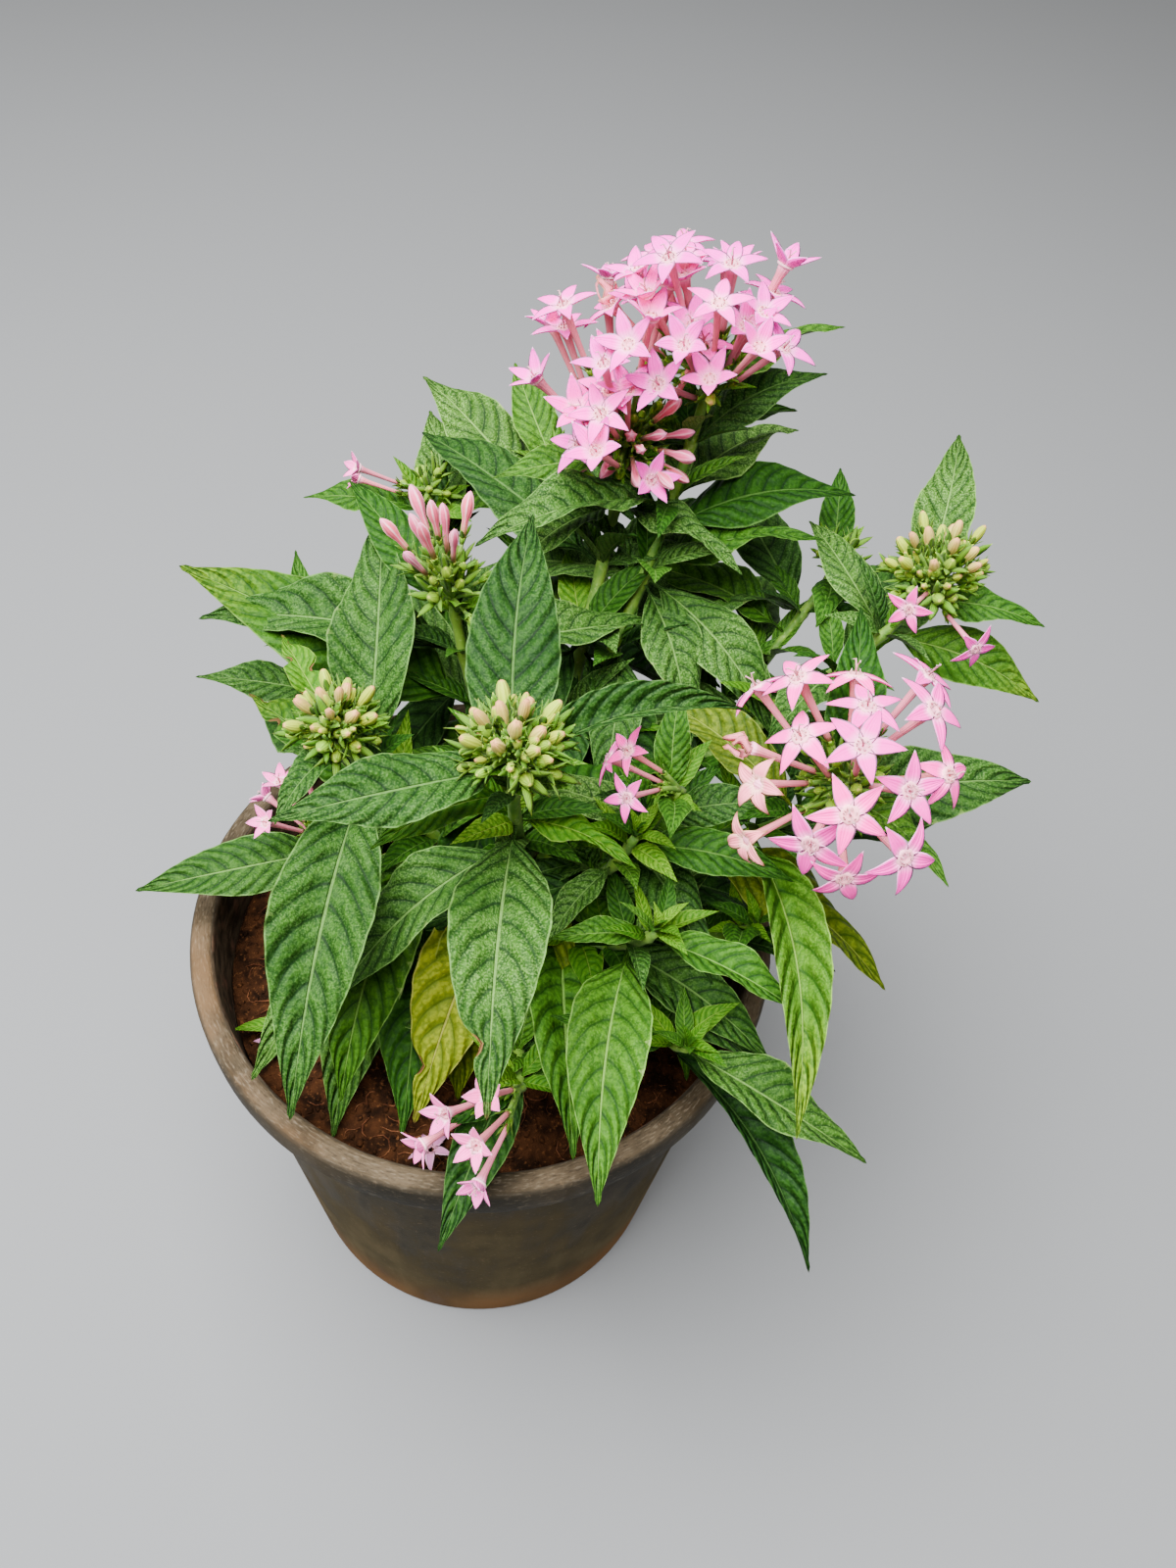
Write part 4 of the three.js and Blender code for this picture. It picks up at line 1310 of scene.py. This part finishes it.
seen = dict.fromkeys(shoots, 0)
for row in flower_rows:
    shoot = row["shoot"]
    add_flower(shoot, row["hub"], row["way"], row["reach"], row["spin"],
               faded=faded_flowers.get(shoot, {}).get(seen[shoot]))
    seen[shoot] += 1
for row in bud_rows:
    if row["kind"] == "specks" and row["reach"] < crown_reach:
        continue
    add_bud(row["hub"], row["way"], row["reach"], row["kind"],
            dice.uniform(0.88, 1.08) * (club_size if row["kind"] == "clubs" else 1))
for name, ways in more_flowers.items():
    for turn, lean, reach in ways:
        add_flower(name, Vector(shoots[name]["tip"]), aim(turn, 90 - lean), reach, dice.uniform(0, 72))
for name, ways in more_clubs.items():
    for turn, lean, reach in ways:
        add_bud(Vector(shoots[name]["tip"]), aim(turn, 90 - lean), reach, "clubs")
for x, y, spin in fallen_flowers:
    turn = facing(nod(Vector((0, 0.2, 1)).normalized(), 12), spin)
    bloom_rows["petals_fallen"].append((Vector((x, y, soil_height + fallen_lift)), turn, fallen_size, 1, 0.1))
for name, shoot in shoots.items():
    hub = Vector(shoot["tip"])
    for kind, count, reach, turn, lean, spread in shoot["sprays"]:
        for number, wider, shift, bend, shares, sort, sizes in fillers(kind, count):
            for way in cap_directions(number, turn, lean, spread + wider, shift):
                add_bud(hub, nod(way, bend), reach * dice.uniform(*shares), sort, dice.uniform(*sizes))
print({name: len(rows) for name, rows in bloom_rows.items()})

# %% Plant flowers and buds
bloom_pieces = [plant(name, bloom_rows[name], shapes, bloom_finishes[finish], seed, size_change=change)
                for name, (shapes, finish, seed, change) in bloom_table.items()]
for piece in bloom_pieces:
    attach(piece, "root")
    print(piece.name, len(piece.data.polygons), "faces")

# %% [markdown]
# ## Stem, boughs and twigs
# The main stem is half woody: ribbed, green-brown, and flared where it meets the soil. The boughs are green
# and softly hairy, with a swelling at every leaf joint. Each bough and its shoot is one limb here, from the
# main stem to the knot at the tip.

# %% Finishes of stem and boughs
stem_hair = (0.42, 0.52, 0.17)
hair_strength = 0.3


def limb_finish(name, dark, light, stretch, scale, roughness, depth):
    finish = Finish(name, roughness, sheen=0.03)
    grain, fleck = finish.noise(scale, 4, (1, 1, stretch)), finish.noise(900, 2)
    finish.start(grain.ramp(0.35, 0.65), dark, light)
    finish.coat(fleck.ramp(0.55, 0.75) * hair_strength, stem_hair)
    return finish.done(fleck * 0.3 + grain, depth)


bark = limb_finish("bark", (0.06, 0.045, 0.02), (0.2, 0.18, 0.08), 0.25, 420, 0.85, 0.5)
green_stem = limb_finish("green_stem", (0.05, 0.145, 0.0045), (0.125, 0.25, 0.012), 0.3, 300, 0.7, 0.25)
print("stem finishes ready")

# %% Main stem
stem_rings = 60
stem_sides = 20
flare_lobes = 5


def bark_swell(angle, travel):
    lobes = 0.9 * math.exp(-travel / flare_height) * math.cos(flare_lobes * angle + 0.6)
    ridges = 0.16 * math.sin(9 * angle + 0.11 * travel) + 0.12 * math.sin(14 * angle - 0.19 * travel)
    return lobes + ridges


stem_skin = Skin()
shares = [i / (stem_rings - 1) for i in range(stem_rings)]
stem_path = [bezier(stem_foot, stem_control, stem_top, share) for share in shares]
stem_radii = [stem_radius + (stem_top_radius - stem_radius) * share
              + flare * math.exp(-share * (stem_top.z - stem_foot.z) / flare_height) for share in shares]
stem_skin.tube(stem_path, stem_radii, stem_sides, swell=bark_swell)
stem = stem_skin.object("stem", MM)
stem.data.materials.append(bark)
show(stem)
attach(stem, "root")
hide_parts("main_stem")
print("stem faces:", len(stem.data.polygons))

# %% Boughs, shoots and flower stalks
limb_step = 3.0
limb_sides = 10
joint_swell = 0.45
joint_length = 1.8
most_joints = 12
limb_skin = Skin()
for name, shoot in shoots.items():
    curve = curves[name]
    count = round(curve.length / limb_step)
    drops = [curve.length * (1 - i / count) for i in range(count + 1)]
    joints = [curve.length - drop_of(pair) for pair in range(most_joints) if drop_of(pair) < curve.length]

    def swell_at_joints(angle, travel, joints=joints):
        return joint_swell * sum(math.exp(-((travel - joint) / joint_length) ** 2) for joint in joints)

    radii = [tip_radius + (bough_radius - tip_radius) * (drop / curve.length) ** 0.8 for drop in drops]
    path = [curve.at(drop) for drop in drops]
    limb_skin.tube(path, radii, limb_sides, ribs=0.05, swell=swell_at_joints, lobes=4)
for hub, reach, thickness in stalks:
    bend = hub + reach * 0.45 + Vector((0, 0, 0.12 * reach.length))
    path = [bezier(hub - reach.normalized() * 2, bend, hub + reach, share) for share in (0, 0.35, 0.7, 1)]
    limb_skin.tube(path, (1.1 * thickness, 0.85 * thickness, 0.75 * thickness, 0.8 * thickness), 6)
limbs = limb_skin.object("boughs", MM)
limbs.data.materials.append(green_stem)
show(limbs)
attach(limbs, "root")
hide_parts(*[name for name in nodes if name.startswith("bough_")])
print("bough faces:", len(limbs.data.polygons))

# %% [markdown]
# ## Pot
# The pot is thin moulded plastic, black when new, now grey with dry dust. Tan dust has settled low on the
# wall and on the rim, where it is rubbed thin in streaks that follow the rim round. One wall profile is
# spun round the axis with bmesh, the seam is closed, and six drain holes are cut through the floor.

# %% Pot finishes
wall_gloss = 0.025
inside_gloss = 0.1
dust_top = 0.16
rust_top = 0.048
lip_edge = (0.1775, 0.1795)
rim_edge = (0.1895, 0.1922)
rim_inside = (0.0935, 0.0925)
rim_outside = (0.0985, 0.0995)
dust_colour = (0.105, 0.082, 0.042)
rust_colour = (0.18, 0.083, 0.032)
speck_colour = (0.15, 0.105, 0.062)


def round_place(finish):
    """Place to the side, turn, distance out and height on the pot, for streaks that follow the rim."""
    x, y, high = finish.split(finish.place)
    return x, y.calc("ARCTAN2", x), (x * x + y * y).calc("SQRT"), high


def pot_finish():
    finish = Finish("pot_plastic", 0.55, gloss=wall_gloss)
    x, turn, out, high = round_place(finish)
    around = node(finish.tree, "ShaderNodeCombineXYZ", {0: turn * 0.05, 1: out * 2.2, 2: high}).outputs[0]
    scratches = finish.noise(700, 3, place=around)
    smears = finish.noise(20, 6, (1.0, 1.0, 0.6))
    runs = finish.noise(110, 4, (1.0, 1.0, 0.14))
    clouds, specks = finish.noise(60, 4), finish.noise(620, 3)
    low, lip, rim = high.ramp(dust_top, 0.0), high.ramp(*lip_edge), high.ramp(*rim_edge)
    dust = smears * 1.7 + runs + clouds * 0.5 + low * 0.6 - 1.6

    finish.start(clouds.ramp(0.35, 0.7), (0.0075, 0.0058, 0.0028), (0.021, 0.0155, 0.008))
    finish.coat(dust.ramp(-0.5, 1.3, 0.0, 0.85), dust_colour)
    sides = (x.calc("ABSOLUTE") / out).ramp(0.7, 1.0, 0.0, 0.65)
    rust = high.ramp(rust_top, 0.0).calc("MAXIMUM", sides * low)
    finish.coat(rust * smears.ramp(0.3, 0.65, 0.3, 0.85), rust_colour)

    lip_colour = finish.blend(smears.ramp(0.35, 0.65), (0.016, 0.0135, 0.009), (0.045, 0.035, 0.022))
    lip_colour = finish.blend(scratches.ramp(0.55, 0.75, 0.0, 0.5), lip_colour, (0.12, 0.1, 0.07))
    finish.coat(lip, lip_colour)

    worn = finish.blend(clouds.ramp(0.35, 0.65), (0.029, 0.022, 0.013), (0.072, 0.053, 0.032))
    edges = out.ramp(*rim_inside).calc("MAXIMUM", out.ramp(*rim_outside))
    for strength, paint in (
        (scratches.ramp(0.52, 0.72, 0.0, 0.4), (0.17, 0.14, 0.1)),
        (scratches.ramp(0.46, 0.32, 0.0, 0.5), (0.012, 0.01, 0.008)),
        (smears.ramp(0.52, 0.68, 0.0, 0.7), (0.12, 0.07, 0.034)),
        (edges * 0.6, (0.03, 0.026, 0.02)),
    ):
        worn = finish.blend(strength, worn, paint)
    finish.coat(rim, worn)
    finish.coat(specks.ramp(0.6, 0.75, 0.0, 0.3), speck_colour)
    finish.tree.links.new(dust.ramp(0.0, 0.5, 0.5, 0.85).socket, finish.shader.inputs["Roughness"])
    return finish.done(specks * 0.35 + scratches * (rim + lip * 0.4), 0.3, 0.7)


def pot_inside_finish():
    finish = Finish("pot_inside", 0.9, gloss=inside_gloss)
    x, turn, out, high = round_place(finish)
    around = node(finish.tree, "ShaderNodeCombineXYZ", {0: turn * 0.04, 2: high}).outputs[0]
    rings, crust = finish.noise(260, 3, place=around), finish.noise(160, 4)
    finish.start(rings.ramp(0.35, 0.65), (0.026, 0.017, 0.01), (0.08, 0.054, 0.032))
    finish.coat(crust.ramp(0.5, 0.75), (0.13, 0.065, 0.04))
    return finish.done(rings + crust, 0.5)


pot_plastic = pot_finish()
pot_inside = pot_inside_finish()
print("pot finishes ready")

# %% Profile of the wall
spin_steps = 128
drain_holes = 6
drain_radius = 6
drain_circle = 62
drain_sides = 28
drill_depth = 0.02
sharp_edge = 38
inside_slack = (0.4, 0.5, 1.5)
mouth_radius = rim_radius - lip_width
inner_base = base_radius - pot_wall
skirt_gap = 0.4
skirt_inside = rim_radius - pot_wall - skirt_gap
skirt_corner = 1.2
skirt_round = 0.9
edge_round = 3
rim_low = pot_height - edge_round
wall_top = rim_low - pot_wall
wall_levels = (0.15, 0.3, 0.45, 0.6, 0.75, 0.88)
floor_ring = 40


def corner(centre, radius, first, last, steps=5):
    """Points of a rounded corner in the wall's profile."""
    turns = [math.radians(first + (last - first) * i / steps) for i in range(steps + 1)]
    return [(centre[0] + radius * math.cos(turn), centre[1] + radius * math.sin(turn)) for turn in turns]


def wall_points(shares, inward=0.0):
    """Points on the wall, a straight cone from the foot up to the rim band."""
    points = []
    for share in shares:
        high = share * wall_top
        grown = (high - edge_round) / (wall_top - edge_round)
        points.append((base_radius + (mouth_radius + pot_wall - base_radius) * grown - inward, high))
    return points


wall_profile = (
    [(0, 0), (floor_ring, 0)]
    + corner((base_radius - edge_round, edge_round), edge_round, -90, 0)
    + wall_points(wall_levels)
    + [(mouth_radius + pot_wall, wall_top), (skirt_inside, wall_top), (skirt_inside, pot_height - lip_drop)]
    + corner((rim_radius - skirt_corner, pot_height - lip_drop + skirt_round), skirt_round, -90, 0, 3)
    + [(rim_radius, pot_height - lip_width)]
    + corner((rim_radius - edge_round, rim_low), edge_round, 0, 90)
    + corner((mouth_radius + edge_round, rim_low), edge_round, 90, 180)
    + wall_points(reversed(wall_levels), pot_wall)
    + [(inner_base, pot_floor), (floor_ring, pot_floor), (0, pot_floor)]
)
print("points in the wall's profile:", len(wall_profile))

# %% Spin the wall and cut the drain holes
shell = bmesh.new()
line = [shell.verts.new(Vector((out, 0, high)) * MM) for out, high in wall_profile]
edges = [shell.edges.new(pair) for pair in zip(line, line[1:])]
bmesh.ops.spin(shell, geom=line + edges, cent=(0, 0, 0), axis=(0, 0, 1), angle=math.tau, steps=spin_steps)
bmesh.ops.remove_doubles(shell, verts=shell.verts, dist=1e-6)
bmesh.ops.dissolve_degenerate(shell, edges=shell.edges, dist=1e-7)
bmesh.ops.recalc_face_normals(shell, faces=shell.faces)
pot_mesh = bpy.data.meshes.new("pot_shell")
shell.to_mesh(pot_mesh)
shell.free()
pot = new_object("pot_shell", pot_mesh)
show(pot)

drill = bmesh.new()
for k in range(drain_holes):
    centre = level(360 * (k + 0.5) / drain_holes) * drain_circle * MM
    bmesh.ops.create_cone(drill, cap_ends=True, segments=drain_sides, radius1=drain_radius * MM,
                          radius2=drain_radius * MM, depth=drill_depth, matrix=Matrix.Translation(centre))
drill_mesh = bpy.data.meshes.new("drill")
drill.to_mesh(drill_mesh)
drill.free()
cutter = new_object("drill", drill_mesh)
show(cutter)
cut = pot.modifiers.new("drain holes", "BOOLEAN")
cut.operation = "DIFFERENCE"
cut.object = cutter
cut.solver = "EXACT"
bpy.context.view_layer.update()
pot.data = bpy.data.meshes.new_from_object(pot.evaluated_get(bpy.context.evaluated_depsgraph_get()))
pot.modifiers.clear()
bpy.data.objects.remove(cutter)
pot.data.materials.clear()
pot.data.materials.append(pot_plastic)
pot.data.materials.append(pot_inside)
side_slack, floor_slack, top_slack = inside_slack
for face in pot.data.polygons:
    x, y, high = face.center / MM
    within = math.hypot(x, y) < mouth_radius + side_slack
    within = within and pot_floor - floor_slack < high < pot_height - top_slack
    face.material_index = int(within and face.normal.dot(Vector((x, y, 0))) < 1e-3)
pot.data.shade_smooth()
pot.data.set_sharp_from_angle(angle=math.radians(sharp_edge))
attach(pot, "root")
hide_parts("pot")
print("pot faces:", len(pot.data.polygons))

# %% [markdown]
# ## Soil
# The pot is filled with red-brown coir and soil: lumpy, fibrous, a little damp, and sunk where it meets the
# wall. The body is a turned solid whose top is raised and lowered by noise. Fibres and crumbs are scattered
# over the top by a second tree of geometry nodes, with a density and a seed.

# %% Soil body
soil_sides = 96
soil_circles = 40
soil_sink = 3
soil_settle = 0.4
lump_height = 1.6


def inner_radius(height):
    return inner_base + (mouth_radius - inner_base) * (height - pot_floor) / (pot_height - pot_floor)


def soil_level(x, y):
    out = math.hypot(x, y)
    edge = inner_radius(soil_height - soil_sink) - clearance
    drop = soil_sink * max(0, (out / edge - 0.8) / 0.2)
    place = Vector((x, y, 0))
    rough = lumps.fractal(place * 0.045, 0.9, 2.2, 3) * 0.8 + lumps.fractal(place * 0.28, 0.8, 2.1, 2) * 0.45
    calm = min(1, (edge - out) / 6 + 0.2)
    return soil_height - drop + rough * lump_height * calm - soil_settle


soil_edge = inner_radius(soil_height - soil_sink) - clearance - 0.1
soil_bottom = pot_floor + clearance + 0.1
rings = [[upward * soil_bottom],
         [level(360 * k / soil_sides) * (inner_radius(soil_bottom) - 0.5) + upward * soil_bottom
          for k in range(soil_sides)]]
for circle in range(soil_circles, 0, -1):
    ring = [level(360 * k / soil_sides) * (soil_edge * circle / soil_circles) for k in range(soil_sides)]
    rings.append([point + upward * soil_level(point.x, point.y) for point in ring])
rings.append([upward * soil_level(0, 0)])
soil_skin = Skin()
soil_skin.close(rings, [0] + [0.5] * (len(rings) - 2) + [1], [0.5] * soil_sides)
soil = soil_skin.object("soil_body", MM)
print("soil faces:", len(soil.data.polygons))

# %% Soil finishes
soil_gloss = 0.06
soil_relief = 1.6


def soil_finish(name, dark, light, dry):
    finish = Finish(name, 0.95, gloss=soil_gloss)
    clods, grain = finish.noise(170, 5), finish.noise(800, 4)
    finish.start(clods.ramp(0.35, 0.68), dark, light)
    finish.coat(grain.ramp(0.55, 0.75) * 0.6, dry)
    return finish.done(grain * 0.5 + clods, soil_relief)


soil_damp = soil_finish("soil_damp", (0.007, 0.0028, 0.0011), (0.036, 0.013, 0.0045), (0.12, 0.046, 0.015))
fibre_dry = soil_finish("fibre_dry", (0.05, 0.016, 0.007), (0.16, 0.06, 0.025), (0.32, 0.16, 0.075))
soil.data.materials.append(soil_damp)
show(soil)
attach(soil, "root")
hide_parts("soil")
print("soil piece:", soil.name)

# %% The tree that scatters crumbs and fibres
scatter_tilt = 0.25
scatter_tree, given = new_tree("scatter_on_surface", {
    "Shapes": "Collection", "Finish": "Material", "Density": "Float",
    "Smallest": "Float", "Largest": "Float", "Seed": "Int"})
spread = node(scatter_tree, "GeometryNodeDistributePointsOnFaces",
              {"Mesh": given["Geometry"], "Density": given["Density"], "Seed": given["Seed"]})
any_turn = node(scatter_tree, "FunctionNodeRandomValue", {
    0: (-scatter_tilt, -scatter_tilt, 0.0), 1: (scatter_tilt, scatter_tilt, math.tau), "Seed": given["Seed"]},
    data_type="FLOAT_VECTOR")
strewn = put_shapes(scatter_tree, given, {
    "Points": spread.outputs[0], "Rotation": any_turn.outputs[0],
    "Scale": any_between(scatter_tree, given["Smallest"], given["Largest"], given["Seed"])})
node(scatter_tree, "NodeGroupOutput", {0: make_real(scatter_tree, given, strewn)})
print("tree:", scatter_tree.name, "with", len(scatter_tree.nodes), "nodes")


# %% Shapes of fibres and crumbs
def fibre_shape(bend, length):
    skin = Skin()
    path = [Vector((length * (t - 0.5), bend * math.sin(3 * t), 0.5 + 0.9 * math.sin(math.pi * t) - 0.3))
            for t in (0, 0.33, 0.66, 1)]
    skin.tube(path, (0.16, 0.24, 0.22, 0.1), 4)
    return skin


def crumb_shape(squash):
    skin = Skin()
    path = [Vector((0.1 * i * squash, 0, high)) for i, high in enumerate((-0.5, -0.2, 0.35, 0.6))]
    skin.tube(path, (0.4, 0.9, 0.75, 0.3), 6, ribs=0.25 * squash, lobes=2)
    return skin


fibres = skin_set("fibres", fibre_shape(1.5, 9.0), fibre_shape(-2.6, 7), fibre_shape(3.4, 11))
crumbs = skin_set("crumbs", crumb_shape(0.6), crumb_shape(1.0), crumb_shape(-0.8))

# %% Scatter over the top of the soil
fibre_density = 26000.0
crumb_density = 62000.0


def soil_top(name, margin):
    """A copy of the top of the soil, kept in from the wall."""
    top = bmesh.new()
    top.from_mesh(soil.data)
    edge = (soil_edge - margin) * MM
    outside = [face for face in top.faces
               if face.normal.z < 0.2 or math.hypot(*face.calc_center_median()[:2]) > edge]
    bmesh.ops.delete(top, geom=outside, context="FACES")
    mesh = bpy.data.meshes.new(name)
    top.to_mesh(mesh)
    top.free()
    mesh.materials.clear()
    return new_object(name, mesh)


fibre_piece = grow_tree(soil_top("soil_fibres", 7.0), scatter_tree, {
    "Shapes": fibres, "Finish": fibre_dry, "Density": fibre_density,
    "Smallest": 0.4 * MM, "Largest": 1.1 * MM, "Seed": 5})
crumb_piece = grow_tree(soil_top("soil_crumbs", 3.0), scatter_tree, {
    "Shapes": crumbs, "Finish": soil_damp, "Density": crumb_density,
    "Smallest": 0.5 * MM, "Largest": 1.7 * MM, "Seed": 6})
for piece in (fibre_piece, crumb_piece):
    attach(piece, "root")
    print(piece.name, len(piece.data.polygons), "faces")

# %% [markdown]
# ## Clearing away the shapes
# The shapes that the trees picked from are removed, with their collections.

# %% Remove the shapes and their collections
for collection in shape_sets:
    for shape in list(collection.objects):
        bpy.data.objects.remove(shape)
    bpy.data.collections.remove(collection)
